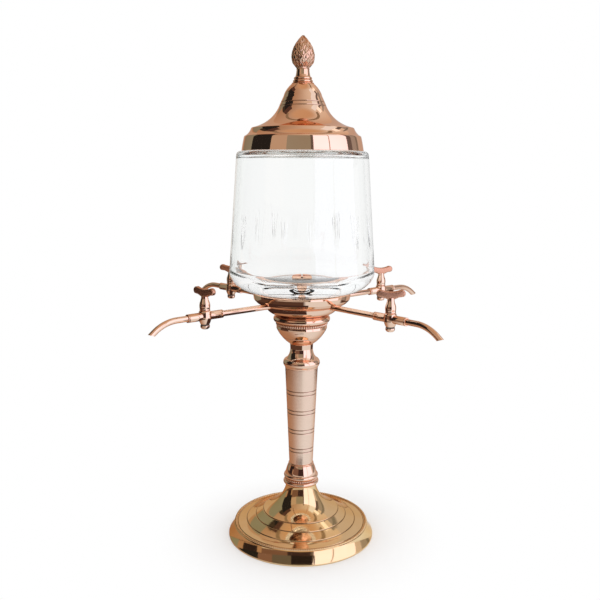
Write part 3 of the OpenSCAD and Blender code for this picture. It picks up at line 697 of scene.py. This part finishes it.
LIP, GROOVE, SOCKET_ROOT = 1.6, 0.35, 3
arm_end = TAP_REACH - SOCKET_X + SOCKET_D - 0.2
arm_bore = TUBE_R - TUBE_WALL
arm_path = [(arm_bore, ARM_START), (TUBE_R, ARM_START), (TUBE_R, arm_end), (arm_bore, arm_end)]
socket_path = [(0, SOCKET_ROOT), (SOCKET_R, SOCKET_ROOT), (SOCKET_R, SOCKET_X - LIP - GROOVE)]
socket_path += [(SOCKET_R - GROOVE, SOCKET_X - LIP, 1), (SOCKET_R, SOCKET_X - LIP + GROOVE)]
socket_path += [(SOCKET_R, SOCKET_X - 0.3), (SOCKET_R - 0.3, SOCKET_X)]
socket_path += [(TUBE_R + FIT, SOCKET_X), (TUBE_R + FIT, SOCKET_X - SOCKET_D), (0, SOCKET_X - SOCKET_D)]
barrel = [(THREAD_R, -BARREL_FOOT), (NUT_R - 0.3, -BARREL_FOOT)]
barrel += sweep((NUT_R, 0.5 - BARREL_FOOT), (BARREL_R, -BARREL_FOOT / 2), (BARREL_R, -1), 16)
barrel += sweep((BARREL_R, 1), (BARREL_R, BARREL_TOP / 2), (BARREL_R - 0.5, BARREL_TOP - 0.8), 8)
barrel += [(BARREL_R - 1.1, BARREL_TOP), (THREAD_R, BARREL_TOP)]


def socket(side):
    """The socket on one side, along X."""
    path = socket_path if side > 0 else [(p[0], -p[1], *p[2:]) for p in socket_path[::-1]]
    return spun("socket", path, steps=64, edge=0.15, along_x=True)


for name in TAPS:
    centre, way = at_tap(name)
    tube = spun("arm_tube_" + name, arm_path, steps=48, edge=0.1, along_x=True)
    place(tube, "stand", "copper", at=(0, 0, ARM_Z), turn=way, instead_of=["arm_pipe_" + name])
    middle = spun("barrel", barrel, steps=96, edge=0.2)
    body = joined("tap_barrel_" + name, [middle, socket(1), socket(-1)])
    place(body, "stand", "copper", at=centre, turn=way, instead_of=["tap_body_" + name])
print("arms end", round(arm_end, 2), "mm from the axis")

# %% [markdown]
# The key is what a hand turns: a tapered plug with a hole across it, a threaded end, a turned
# vase and a flat handle with two round ends. A domed nut and a soft washer hold it from below.
# All of these are turned, so they are profiles again.

# %% Keys
nut_low = 1 - NUT_FOOT
key_side = [(0, nut_low), (THREAD_R, nut_low), (THREAD_R, 0.3 - BARREL_FOOT)]
key_side += [(PLUG_LOW_R - 0.3, 0.3 - BARREL_FOOT), (PLUG_TOP_R - 0.3, VASE_Z)]
key_side += [(SEAT_R - 0.3, VASE_Z), (SEAT_R, VASE_Z + 0.5)]
swell = sweep((SEAT_R - 0.2, 1.6), (SEAT_R + 0.6, VASE_H * 0.4), (SEAT_R - 0.8, VASE_H * 0.66), 18)
swell += sweep(swell[-1], (SEAT_R - 1.7, VASE_H * 0.82), (3.3, VASE_H + 1.5), 12)[1:]
key_side += raised(swell, VASE_Z) + [(0, VASE_Z + VASE_H + 1.5)]
nut_side = [(0, 0)] + arc((NUT_R - NUT_DOME, NUT_DOME), NUT_DOME, NUT_DOME, -88, 0, 12)
nut_side += [(NUT_R, NUT_H), (THREAD_R + FIT, NUT_H), (THREAD_R + FIT, 0.6), (0, 0.6)]
hole_r, ring_r = THREAD_R + FIT, NUT_R - 0.3
washer_side = [(hole_r, 0), (ring_r, 0), (ring_r, TAP_WASHER_T), (hole_r, TAP_WASHER_T)]

for name in TAPS:
    centre, way = at_tap(name)
    turn = way + TAPS[name][1]
    key = spun("turned_key_" + name, key_side, steps=96, edge=0.2)
    place(key, "key_" + name, "copper", at=centre, turn=turn, instead_of=["tap_key_" + name])
    low = (centre[0], centre[1], centre[2] - NUT_FOOT)
    nut = spun("cap_nut_" + name, nut_side, steps=64)
    place(nut, "key_" + name, "copper", at=low, instead_of=["tap_nut_" + name])
    low = (low[0], low[1], low[2] + NUT_H)
    ring = spun("tap_ring_" + name, washer_side, steps=64, edge=0.1)
    place(ring, "key_" + name, "rubber", at=low, instead_of=["tap_washer_" + name])
print("keys stand", round(VASE_Z + VASE_H + HANDLE_H + 2, 1), "mm over the arms")

# %% [markdown]
# The handle is cast as a flat plate, and its edges are filed over. So it is a stack of layers of
# one outline, the outer ones drawn in a little more, from one face through to the other.

# %% Handles
LIFT, FILED = 2, 1.3
end_r = HANDLE_H / 2
end_x, end_z = HANDLE_W / 2 - end_r, end_r + LIFT
back, heel_x = (end_x - end_r * 0.42, end_r * 1.9 + LIFT), end_x - end_r * 0.5
handle = arc((end_x, end_z), end_r, end_r, -60, 115, 22)
handle += sweep(back, (0, end_z + 0.3), (-back[0], back[1]), 22)[1:-1]
handle += arc((-end_x, end_z), end_r, end_r, 65, 240, 22)
handle += sweep((-heel_x, end_r * 0.13 + LIFT), (-4, 0), (-3, 0), 8)[1:]
handle += sweep((3, 0), (4, 0), (heel_x, end_r * 0.13 + LIFT), 8)[:-1]


def drawn_in(outline, d):
    """A closed outline moved inwards by d."""
    out, n = [], len(outline)
    for i, p in enumerate(outline):
        a, b = outline[i - 1], outline[(i + 1) % n]
        run = math.hypot(b[0] - a[0], b[1] - a[1])
        out.append((p[0] - d * (b[1] - a[1]) / run, p[1] + d * (b[0] - a[0]) / run))
    return out


def filed_plate(name, outline, thick, round_r, steps=5):
    """A plate of an outline in X and Z, with filed edges."""
    layers = []
    for side, order in ((-1, range(steps, -1, -1)), (1, range(steps + 1))):
        for k in order:
            a = math.radians(90 * k / steps)
            y = side * (thick / 2 - round_r * (1 - math.sin(a)))
            layers.append([(x, y, z) for x, z in drawn_in(outline, round_r * (1 - math.cos(a)))])
    return ring_mesh(name, layers, closed=False)


for name in TAPS:
    centre, way = at_tap(name)
    plate = filed_plate("handle_" + name, handle, HANDLE_T, FILED)
    crease(plate, turn=50)
    high = (centre[0], centre[1], centre[2] + VASE_Z + VASE_H)
    place(plate, "key_" + name, "copper", at=high, turn=way + TAPS[name][1], finish="cast handle painted dark")
print(len(handle), "points round a handle")

# %% [markdown]
# A spout is drawn tube, bent over a former and then cut off at a slant, nearly level, so that its
# mouth is an oval that faces down. Rings of points follow the tube's middle line, out along the
# outer wall and back along the bore, and the points of the last ring slide along the tube until
# they meet the cut.

# %% Spouts
BEND_STEPS = 24
MOUTH_SLANT = math.tan(math.radians(33))   # rise of the cut over its run, measured from a square cut
tail = SPOUT_TIP + TUBE_R * MOUTH_SLANT


def spout_line():
    """(point, direction) along the middle of a spout, in X and Z."""
    out = [((SOCKET_X - SOCKET_D + 0.2, 0), (1, 0)), ((SOCKET_X, 0), (1, 0))]
    corner = (SOCKET_X + SPOUT_RUN, -BEND_R)
    for k in range(BEND_STEPS + 1):
        a = math.radians(90 - BEND_ANGLE * k / BEND_STEPS)
        x, z = math.cos(a), math.sin(a)
        out.append(((corner[0] + BEND_R * x, corner[1] + BEND_R * z), (z, -x)))
    (x, z), (u, w) = out[-1]
    return out + [((x + u * tail, z + w * tail), (u, w))]


def spout_rings(r, steps=48):
    """Rings of radius r along a spout, the last one cut at a slant."""
    line, rings = spout_line(), []
    for i, ((x, z), (u, w)) in enumerate(line):
        ring = []
        for k in range(steps):
            a = 2 * math.pi * k / steps
            up = r * math.cos(a)
            slide = up * MOUTH_SLANT if i == len(line) - 1 else 0
            ring.append((x - w * up + u * slide, r * math.sin(a), z + u * up + w * slide))
        rings.append(ring)
    return rings


for name in TAPS:
    centre, way = at_tap(name)
    rings = spout_rings(TUBE_R) + spout_rings(TUBE_R - TUBE_WALL)[::-1]
    tube = ring_mesh("spout_bent_" + name, rings, closed=True)
    crease(tube, turn=40)
    place(tube, "stand", "copper", at=centre, turn=way, instead_of=["spout_" + name])
print("spout ends", [round(v, 1) for v in spout_line()[-1][0]], "mm from its tap")

# %% [markdown]
# ## Finishes
# Three effects are shared by the metals, so each is a node group with its own inputs. The helpers
# here place nodes and make groups.

# %% Node helpers
def group(name, inputs, outputs):
    """A shader node group with named float inputs and outputs."""
    tree = bpy.data.node_groups.new(name, "ShaderNodeTree")
    for title, value in inputs:
        socket = tree.interface.new_socket(title, in_out="INPUT", socket_type="NodeSocketFloat")
        socket.default_value = value
    for title in outputs:
        tree.interface.new_socket(title, in_out="OUTPUT", socket_type="NodeSocketFloat")
    return tree, tree.nodes.new("NodeGroupInput").outputs, tree.nodes.new("NodeGroupOutput").inputs


def add(tree, kind, settings=(), **sockets):
    """A node with settings, its input sockets set to values or linked."""
    node = tree.nodes.new(kind)
    for key, value in dict(settings).items():
        setattr(node, key, value)
    for key, value in sockets.items():
        socket = node.inputs[int(key[1:]) if key[1:].isdigit() else key.replace("_", " ")]
        if isinstance(value, bpy.types.NodeSocket):
            tree.links.new(value, socket)
        else:
            socket.default_value = value
    return node


def maths(tree, op, a, b=0.0):
    """One Math node."""
    return add(tree, "ShaderNodeMath", {"operation": op}, i0=a, i1=b).outputs[0]


def own_spot(tree):
    """Where a point is on its own piece."""
    return add(tree, "ShaderNodeTexCoord").outputs["Object"]


def mirrored_rays(tree):
    """1 for a ray that a surface has mirrored, 0 for any other."""
    path = add(tree, "ShaderNodeLightPath").outputs
    not_through = maths(tree, "SUBTRACT", 1.0, path["Is Transmission Ray"])
    return maths(tree, "MULTIPLY", path["Is Glossy Ray"], not_through)


def noise(tree, **sockets):
    """The value of a Noise Texture."""
    return add(tree, "ShaderNodeTexNoise", **sockets).outputs[0]


def ramp(tree, value, start, end, low=0.0, high=1.0):
    """A smooth step from low to high while the value goes from start to end."""
    step = add(tree, "ShaderNodeMapRange", {"interpolation_type": "SMOOTHSTEP"},
               Value=value, i1=start, i2=end, i3=low, i4=high)
    return step.outputs[0]


def effect(tree, made, **values):
    """One of the groups, placed in a tree with its own values."""
    node = tree.nodes.new("ShaderNodeGroup")
    node.node_tree = made
    for key, value in values.items():
        node.inputs[key.replace("_", " ")].default_value = value
    return node.outputs


def finish(name):
    """A new material, its tree and its Principled shader."""
    mat = bpy.data.materials.new(name)
    mat.use_nodes = True
    return mat, mat.node_tree, mat.node_tree.nodes["Principled BSDF"]


def blend(tree, a, b, by):
    """Two colours mixed by a mask."""
    node = add(tree, "ShaderNodeMix", {"data_type": "RGBA"}, Factor=by)
    for socket, value in ((node.inputs[6], a), (node.inputs[7], b)):
        if isinstance(value, bpy.types.NodeSocket):
            tree.links.new(value, socket)
        else:
            socket.default_value = (*value, 1)
    return node.outputs[2]


print("node helpers ready")

# %% [markdown]
# Turning marks are the fine circles that a tool or a polishing mop leaves. They are noise read
# only by distance from the axis and by height, so they can't change on the way round.

# %% Turning marks
LINES_PER_M = 2600
marks_in = [("Lines", LINES_PER_M), ("Wander", 0.15)]
turning, source, sink = group("Turning marks", marks_in, ["Height", "Streak"])
spot = own_spot(turning)
xyz = add(turning, "ShaderNodeSeparateXYZ", Vector=spot).outputs
square = maths(turning, "ADD", maths(turning, "POWER", xyz["X"], 2), maths(turning, "POWER", xyz["Y"], 2))
flat = add(turning, "ShaderNodeCombineXYZ", X=maths(turning, "SQRT", square), Y=xyz["Z"]).outputs[0]
broad_lines = maths(turning, "MULTIPLY", source["Lines"], 0.12)
wander = maths(turning, "MULTIPLY", noise(turning, Vector=spot, Scale=60.0, Detail=2.0), source["Wander"])
fine = noise(turning, Vector=flat, Scale=source["Lines"], Detail=2.0)
height = maths(turning, "MULTIPLY", fine, maths(turning, "ADD", wander, 1.0))
turning.links.new(height, sink["Height"])
turning.links.new(noise(turning, Vector=flat, Scale=broad_lines, Detail=1.0), sink["Streak"])
print("turning marks at", LINES_PER_M, "lines to the metre")

# %% [markdown]
# Handling marks are the faint clouds that fingers leave. They are soft patches with no
# direction, and they dull and redden polished copper a little.

# %% Handling marks
handling, source, sink = group("Handling marks", [("Size", 30.0), ("Contrast", 3.0)], ["Smudge"])
spot = own_spot(handling)
cloud = noise(handling, Vector=spot, Scale=source["Size"], Detail=4.0, Distortion=0.6)
lift = maths(handling, "MULTIPLY", maths(handling, "SUBTRACT", cloud, 0.5), source["Contrast"])
smudge = add(handling, "ShaderNodeClamp", Value=maths(handling, "ADD", lift, 0.5)).outputs[0]
handling.links.new(smudge, sink["Smudge"])
print("handling marks ready")

# %% [markdown]
# Groove residue is the dried polish that stays in every line, where no cloth reaches. The same
# mask also paints shade into the grooves, the strips under the beading, the gaps between beads
# and the bud under its leaves. It reads the attribute that the profiles gave to their grooves,
# and breaks it up a little. Below zero the same attribute marks where copper is tinned.

# %% Groove residue and painted shade
residue_and_shade, source, sink = group("Groove residue", [("Amount", 0.8), ("Patchiness", 0.4)], ["Mask", "Tin"])
deep = add(residue_and_shade, "ShaderNodeAttribute", {"attribute_name": "groove"}).outputs["Fac"]
patch = noise(residue_and_shade, Vector=own_spot(residue_and_shade), Scale=140.0, Detail=2.0)
gaps = maths(residue_and_shade, "SUBTRACT", 1.0, maths(residue_and_shade, "MULTIPLY", patch, source["Patchiness"]))
mask = maths(residue_and_shade, "MULTIPLY", maths(residue_and_shade, "MULTIPLY", deep, gaps), source["Amount"])
residue_and_shade.links.new(add(residue_and_shade, "ShaderNodeClamp", Value=mask).outputs[0], sink["Mask"])
tinned = add(residue_and_shade, "ShaderNodeClamp", Value=maths(residue_and_shade, "MULTIPLY", deep, TINNED)).outputs[0]
residue_and_shade.links.new(tinned, sink["Tin"])
print("groove residue ready")

# %% [markdown]
# Polished copper has almost no colour of its own in the shadows: its base colour tints what it
# mirrors. So each metal is fully metallic. Under the handling marks its tint is a little darker
# and redder, in the grooves it is dark brown from polish residue and painted shade, and its
# roughness follows the marks. Towards a grazing view every metal turns white, but copper keeps
# some of its colour, which Specular Tint sets.

# %% Metals
def metal(name, tint, worn, grime_and_shade, edge, rough, clouds, lines, depth, streaks):
    """A turned and polished metal. depth is that of its turning marks, in millimetres."""
    mat, tree, shader = finish(name)
    marks = effect(tree, turning, Lines=lines)
    smudge = effect(tree, handling)["Smudge"]
    grooves = effect(tree, residue_and_shade)
    dirt_and_shade, tin = grooves["Mask"], grooves["Tin"]
    clean = blend(tree, tint, worn, maths(tree, "MULTIPLY", smudge, 0.5))
    # Grooves get the grime colour: polish residue together with painted shade.
    tree.links.new(blend(tree, blend(tree, clean, grime_and_shade, dirt_and_shade), TIN, tin), shader.inputs["Base Color"])
    cloudy = maths(tree, "MULTIPLY", smudge, clouds)
    streaky = maths(tree, "MULTIPLY", marks["Streak"], streaks)
    dull = maths(tree, "ADD", maths(tree, "MULTIPLY", dirt_and_shade, DIRT_ROUGH), rough)
    rougher = maths(tree, "ADD", maths(tree, "ADD", cloudy, streaky), dull)
    tree.links.new(rougher, shader.inputs["Roughness"])
    bump = add(tree, "ShaderNodeBump", Height=marks["Height"], Strength=1.0, Distance=depth * MM)
    tree.links.new(bump.outputs[0], shader.inputs["Normal"])
    shader.inputs["Metallic"].default_value = 1.0
    shader.inputs["Specular Tint"].default_value = (*edge, 1)
    return mat


COPPER_EDGE, GILT_EDGE, TIN = (0.92, 0.68, 0.56), (0.94, 0.72, 0.5), (0.66, 0.66, 0.64)
DIRT_ROUGH = 0.35
finishes = {
    "copper": metal(
        "polished copper", tint=(0.90, 0.60, 0.44), worn=(0.86, 0.53, 0.36), grime_and_shade=(0.10, 0.035, 0.015),
        edge=COPPER_EDGE, rough=0.015, clouds=0.03, lines=2200, depth=0.0002, streaks=0.02),
    "brushed copper": metal(
        "brushed copper", tint=(0.90, 0.62, 0.47), worn=(0.87, 0.57, 0.42), grime_and_shade=(0.16, 0.06, 0.03),
        edge=COPPER_EDGE, rough=0.14, clouds=0.05, lines=3200, depth=0.003, streaks=0.10),
    "cast copper": metal(
        "cast copper", tint=(0.88, 0.56, 0.39), worn=(0.78, 0.44, 0.27), grime_and_shade=(0.12, 0.04, 0.02),
        edge=COPPER_EDGE, rough=0.05, clouds=0.05, lines=900, depth=0.001, streaks=0.04),
    # The handles' tint is darker than the other copper: a painted dark reflection for their flat faces.
    "cast handle painted dark": metal(
        "cast handle painted dark", tint=(0.66, 0.34, 0.22), worn=(0.56, 0.26, 0.16), grime_and_shade=(0.16, 0.06, 0.03),
        edge=COPPER_EDGE, rough=0.28, clouds=0.10, lines=1400, depth=0.006, streaks=0.06),
    "gilt": metal(
        "gilt brass", tint=(0.90, 0.62, 0.35), worn=(0.85, 0.53, 0.25), grime_and_shade=(0.10, 0.03, 0.01),
        edge=GILT_EDGE, rough=0.03, clouds=0.04, lines=2600, depth=0.0005, streaks=0.05),
    "steel": metal(
        "plain steel", tint=(0.60, 0.59, 0.57), worn=(0.48, 0.47, 0.45), grime_and_shade=(0.12, 0.11, 0.10),
        edge=(1, 1, 1), rough=0.28, clouds=0.10, lines=1500, depth=0.004, streaks=0.10),
}
print(len(finishes), "metals")

# %% [markdown]
# Clear glass is nearly invisible against a white wall. What shows is its edge, where the eye
# looks along the wall and not through it, so the tint deepens there with Layer Weight. The
# shader lets shadow rays straight through, as thin clear glass does.

# %% Glass
CLEAR, EDGE_TINT, SHADOW_TINT = (0.985, 0.99, 0.987), (0.60, 0.63, 0.61), (0.93, 0.94, 0.935)
GLASS_IOR = 1.5
mat, tree, shader = finish("clear glass")
edge = add(tree, "ShaderNodeLayerWeight", Blend=0.25).outputs["Facing"]
tint = blend(tree, CLEAR, EDGE_TINT, ramp(tree, edge, 0.35, 1.0))
tree.links.new(tint, shader.inputs["Base Color"])
smear = effect(tree, handling, Size=18.0, Contrast=4.0)["Smudge"]
tree.links.new(maths(tree, "MULTIPLY", smear, 0.012), shader.inputs["Roughness"])
shader.inputs["Transmission Weight"].default_value = 1.0
shader.inputs["IOR"].default_value = GLASS_IOR
shadow = add(tree, "ShaderNodeLightPath").outputs["Is Shadow Ray"]
clear = add(tree, "ShaderNodeBsdfTransparent", Color=(*SHADOW_TINT, 1))
through = add(tree, "ShaderNodeMixShader", i0=shadow, i1=shader.outputs[0], i2=clear.outputs[0])
tree.links.new(through.outputs[0], tree.nodes["Material Output"].inputs["Surface"])
finishes["glass"] = mat
print("glass bends light by", GLASS_IOR)

# %% [markdown]
# Light that enters the thick floor is mirrored back and forth inside it many times before it comes
# out at the far side. Cycles stops following a ray after four mirrorings, which would leave the
# floor black, so it may follow them for longer here.

# %% Long paths in the glass
LONGEST_PATH = 24
cycles = bpy.context.scene.cycles
cycles.max_bounces = cycles.glossy_bounces = cycles.transmission_bounces = LONGEST_PATH
print("rays are followed for", cycles.glossy_bounces, "bounces")

# %% [markdown]
# The ring under the glass and the small washers are black rubber: a dark base with a little grit
# in its surface and a film of dust, which makes it greyer and duller in patches.

# %% Rubber
BLACK, DUSTY, GRIT_DEPTH = (0.03, 0.031, 0.03), (0.08, 0.082, 0.078), 0.03
mat, tree, shader = finish("black rubber")
grit = noise(tree, Vector=own_spot(tree), Scale=900.0, Detail=4.0)
dust = effect(tree, handling, Size=45.0)["Smudge"]
tree.links.new(blend(tree, BLACK, DUSTY, dust), shader.inputs["Base Color"])
tree.links.new(maths(tree, "ADD", maths(tree, "MULTIPLY", dust, 0.15), 0.55), shader.inputs["Roughness"])
bump = add(tree, "ShaderNodeBump", Height=grit, Strength=0.6, Distance=GRIT_DEPTH * MM)
tree.links.new(bump.outputs[0], shader.inputs["Normal"])
finishes["rubber"] = mat
print(len(finishes), "finishes")

# %% [markdown]
# Each new piece carries the name of its finish. The CAD solids that stay as they are, such as
# the nuts inside the lid and the foot, get the finish of their own material slot.

# %% Put the finishes on
for piece in bpy.context.scene.objects:
    if "finish" in piece:
        piece.data.materials.clear()
        piece.data.materials.append(finishes[piece["finish"]])
slots = {part["node"]: part["material_slot"] for part in frame["record"]["subparts"]}
for name, node in frame["nodes"].items():
    for k in range(len(node.material_slots)):
        node.material_slots[k].link = "OBJECT"
        node.material_slots[k].material = finishes[slots[name]]

# %% [markdown]
# ## The studio
# The air round the object is white, and the world lights everything evenly. A mirror-like metal
# looks flat in such a place, because all that it reflects is white too. So reflections see a room
# instead: a warm ceiling here, and upright cards round the object in the next cell.

# %% World
CEILING_LEFT, CEILING_RIGHT, OVERHEAD = (0.44, 0.30, 0.20), (0.80, 0.74, 0.66), (0.63, 0.43, 0.27)
WHITE = (1, 1, 1)
world = bpy.data.worlds.new("studio")
bpy.context.scene.world = world
world.use_nodes = True
tree = world.node_tree
tree.nodes.clear()
direction = add(tree, "ShaderNodeTexCoord").outputs["Generated"]
look = add(tree, "ShaderNodeSeparateXYZ", Vector=direction).outputs
walls = blend(tree, CEILING_LEFT, CEILING_RIGHT, ramp(tree, look["X"], -0.8, 0.8))
ceiling = blend(tree, walls, OVERHEAD, ramp(tree, look["Z"], 0.88, 0.98))
mirrored = mirrored_rays(tree)
air = add(tree, "ShaderNodeBackground", Color=blend(tree, WHITE, ceiling, mirrored))
tree.links.new(air.outputs[0], tree.nodes.new("ShaderNodeOutputWorld").inputs["Surface"])
print("ceiling", CEILING_LEFT, "to", CEILING_RIGHT)

# %% [markdown]
# A photographer shapes the reflections in polished metal with cards: white ones make it bright,
# black ones draw its edges. Here each card is a curved strip that stands round the object. Those
# of the room stand a metre away. A few low dark ones stand close in front of the foot, so the
# foot mirrors them and the lid doesn't, and one lies level under the cup, for the parts that face
# down. Each has a radius, a first and a last angle, a lowest and a highest point and a colour.
# Angles are in degrees from the viewer, to the right as the picture shows it, and lengths are in
# metres. Only reflections see the cards, and only from the object's side.

# %% Cards
ROOM_R, INNER_R, NEAR_R, CARD_STEP = 1.0, 0.98, 0.12, 3
CARDS = {
    "window": (ROOM_R, 20, 92, 0.0, 1.12, (1.45, 1.45, 1.80)),
    "window_top": (ROOM_R, 58, 90, 1.12, 2.2, (0.95, 1.05, 1.15)),
    "skylight": (ROOM_R, 90, 118, 1.40, 1.75, (1.3, 1.3, 1.3)),
    "window_bar": (INNER_R, 50, 52, 0.0, 1.12, (0.5, 0.42, 0.36)),
    "window_frame": (ROOM_R, 15, 20, 0.0, 1.3, (0.14, 0.12, 0.11)),
    "green_wall": (ROOM_R, -30, 15, 0.0, 1.12, (0.33, 0.33, 0.27)),
    "curtain": (ROOM_R, -62, -30, 0.0, 1.12, (0.54, 0.44, 0.34)),
    "skirting": (INNER_R, -62, 15, 0.0, 0.08, (0.62, 0.60, 0.55)),
    "brown_desk": (INNER_R, -62, -20, 0.08, 0.45, (0.20, 0.12, 0.09)),
    "dark_desk": (INNER_R, -20, 15, 0.08, 0.45, (0.05, 0.03, 0.03)),
    "dark_corner": (ROOM_R, -110, -62, 0.3, 1.5, (0.02, 0.02, 0.02)),
    "low_corner": (ROOM_R, -98, -70, 0.04, 0.3, (0.03, 0.02, 0.02)),
    "dark_edge": (ROOM_R, -124, -110, 1.05, 1.5, (0.05, 0.04, 0.03)),
    "brown_corner": (ROOM_R, -122, -72, 1.5, 2.05, (0.09, 0.05, 0.04)),
    "cornice": (ROOM_R, 100, 250, 1.98, 2.35, (0.28, 0.22, 0.15)),
    "left_wall": (ROOM_R, -146, -110, 0.0, 1.1, (0.28, 0.32, 0.27)),
    "back_left": (ROOM_R, -180, -150, 0.0, 1.1, (0.60, 0.54, 0.47)),
    "back_right": (ROOM_R, 128, 180, 0.0, 1.1, (0.62, 0.61, 0.61)),
    "right_wall": (ROOM_R, 105, 128, 0.0, 1.1, (0.38, 0.38, 0.38)),
    "door_edge": (INNER_R, 120, 126, 0.0, 1.3, (0.24, 0.25, 0.24)),
    "blind": (ROOM_R, 92, 105, 0.5, 1.4, (0.16, 0.14, 0.14)),
    "low_right": (ROOM_R, 92, 105, 0.0, 0.5, (0.70, 0.66, 0.66)),
    "black_bag": (NEAR_R, -10, 12.5, 0.022, 0.042, (0.02, 0.015, 0.015)),
    "bag_strap": (NEAR_R, 13.8, 15, 0.022, 0.042, (0.05, 0.04, 0.04)),
    "grey_bag": (NEAR_R, -31, -10, 0.022, 0.042, (0.14, 0.13, 0.11)),
    "brown_box": (NEAR_R, -48, -31, 0.022, 0.042, (0.24, 0.15, 0.12)),
    "under_cup": (0.045, -140, 12, 0.238, 0.238, (0.06, 0.035, 0.03), 0.13),
}


def card(name, radius, start, end, low, high, colour, top_radius=None):
    """A curved strip that only reflections see, from the object's side. A top_radius tilts it."""
    steps = max(1, round((end - start) / CARD_STEP))
    turns = [math.radians(start + (end - start) * k / steps) for k in range(steps + 1)]
    ends = ((radius, low), (top_radius or radius, high))
    verts = [(r * math.sin(a), -r * math.cos(a), z) for a in turns for r, z in ends]
    mesh = bpy.data.meshes.new(name)
    mesh.from_pydata(verts, [], [(2 * k, 2 * k + 1, 2 * k + 3, 2 * k + 2) for k in range(steps)])
    mat = bpy.data.materials.new(name)
    mat.use_nodes = True
    tree = mat.node_tree
    glow = add(tree, "ShaderNodeEmission", Color=(*colour, 1), Strength=1.0)
    clear = add(tree, "ShaderNodeBsdfTransparent")
    behind = add(tree, "ShaderNodeNewGeometry").outputs["Backfacing"]
    one_side = add(tree, "ShaderNodeMixShader", i0=behind, i1=glow.outputs[0], i2=clear.outputs[0])
    tree.links.new(one_side.outputs[0], tree.nodes["Material Output"].inputs["Surface"])
    mat.cycles.emission_sampling = "NONE"
    mesh.materials.append(mat)
    strip = bpy.data.objects.new(name, mesh)
    strip.visible_camera = strip.visible_diffuse = False
    strip.visible_transmission = strip.visible_shadow = False
    bpy.context.scene.collection.objects.link(strip)


for name, where in CARDS.items():
    card(name, *where)
print(len(CARDS), "cards")

# %% [markdown]
# The floor is a matt white sheet. It keeps the object's shadow near the foot and fades into plain
# white further out, so that no horizon shows. What reflections see of it is painted light from the
# window's side: painted white there, painted tan shade on the far side, and the sheet ends in a
# dark floor a little way off.

# %% Floor
FLOOR_R, SHADE_R, WHITE_R, SHEET_R, SHEET_EDGE = 6.0, 0.086, 0.17, 0.62, 0.02
PAPER = (0.93, 0.93, 0.93)
TOWARDS_WINDOW = math.radians(55)
PAINTED_LIT, PAINTED_SHADE, BEYOND = (0.85, 0.98, 1.08), (0.45, 0.30, 0.20), (0.10, 0.06, 0.045)
floor_mesh = bpy.data.meshes.new("floor")
maker = bmesh.new()
bmesh.ops.create_circle(maker, cap_ends=True, segments=96, radius=FLOOR_R)
maker.to_mesh(floor_mesh)
maker.free()
floor = bpy.data.objects.new("floor", floor_mesh)
bpy.context.scene.collection.objects.link(floor)
mat, tree, shader = finish("white floor")
shader.inputs["Roughness"].default_value = 0.9
shader.inputs["Specular IOR Level"].default_value = 0.0
spot = own_spot(tree)
far = add(tree, "ShaderNodeVectorMath", {"operation": "LENGTH"}, i0=spot).outputs["Value"]
to_window = (math.sin(TOWARDS_WINDOW), -math.cos(TOWARDS_WINDOW), 0)
side = add(tree, "ShaderNodeVectorMath", {"operation": "DOT_PRODUCT"}, i0=spot, i1=to_window)
facing = maths(tree, "DIVIDE", side.outputs["Value"], maths(tree, "ADD", far, 0.001))
# Towards the window the reflected floor is painted light, on the far side painted shade.
painted_lit_side = ramp(tree, facing, -1.0, 1.0)
sheet = blend(tree, PAINTED_SHADE, PAINTED_LIT, painted_lit_side)
outside = blend(tree, BEYOND, PAINTED_LIT, ramp(tree, facing, 0.60, 0.72))
seen = blend(tree, sheet, outside, ramp(tree, far, SHEET_R - SHEET_EDGE, SHEET_R + SHEET_EDGE))
mirrored = mirrored_rays(tree)
tree.links.new(blend(tree, PAPER, seen, mirrored), shader.inputs["Base Color"])
white = add(tree, "ShaderNodeEmission", Color=blend(tree, WHITE, seen, mirrored), Strength=1.0)
mat.cycles.emission_sampling = "NONE"
fade = ramp(tree, far, SHADE_R, WHITE_R)
ground = add(tree, "ShaderNodeMixShader", i0=fade, i1=shader.outputs[0], i2=white.outputs[0])
tree.links.new(ground.outputs[0], tree.nodes["Material Output"].inputs["Surface"])
floor_mesh.materials.append(mat)
print("floor", 2 * FLOOR_R, "m across")

# %% [markdown]
# One broad lamp overhead makes the shadow under the foot a little firmer. Reflections don't see
# it, because the room already has its own window.

# %% Lamp
LAMP_ACROSS, LAMP_WATTS, LAMP_AT, LAMP_AIM = 0.9, 2.0, (-0.5, -0.5, 1.5), (0, 0, 0.25)
soft = bpy.data.lights.new("overhead", "AREA")
soft.shape, soft.size, soft.energy = "DISK", LAMP_ACROSS, LAMP_WATTS
overhead = bpy.data.objects.new("overhead", soft)
overhead.location = LAMP_AT
aim = Vector(LAMP_AIM) - overhead.location
overhead.rotation_euler = aim.to_track_quat("-Z", "Y").to_euler()
overhead.visible_glossy = False
bpy.context.scene.collection.objects.link(overhead)
print("lamp at", tuple(overhead.location))

# %% [markdown]
# The camera stands a little over the cup's height and looks slightly down, as in the photo.

# %% Camera
ASIDE, DISTANCE, EYE, PITCH, ROLL = -0.002, 0.825, 0.4125, 9.73, 0.27
LENS, SENSOR = 45.66, 36
camera = bpy.data.objects.new("camera", bpy.data.cameras.new("camera"))
bpy.context.scene.collection.objects.link(camera)
camera.data.sensor_width, camera.data.lens = SENSOR, LENS
camera.location = (ASIDE, -DISTANCE, EYE)
tilt = Matrix.Rotation(math.radians(90 - PITCH), 4, "X") @ Matrix.Rotation(math.radians(ROLL), 4, "Z")
camera.rotation_euler = tilt.to_euler()
bpy.context.scene.camera = camera
bpy.context.scene.view_settings.view_transform = "Standard"
print("camera", tuple(round(v, 3) for v in camera.location))

# %% [markdown]
# Last, the view layer is updated.

# %% Update the view layer
bpy.context.view_layer.update()
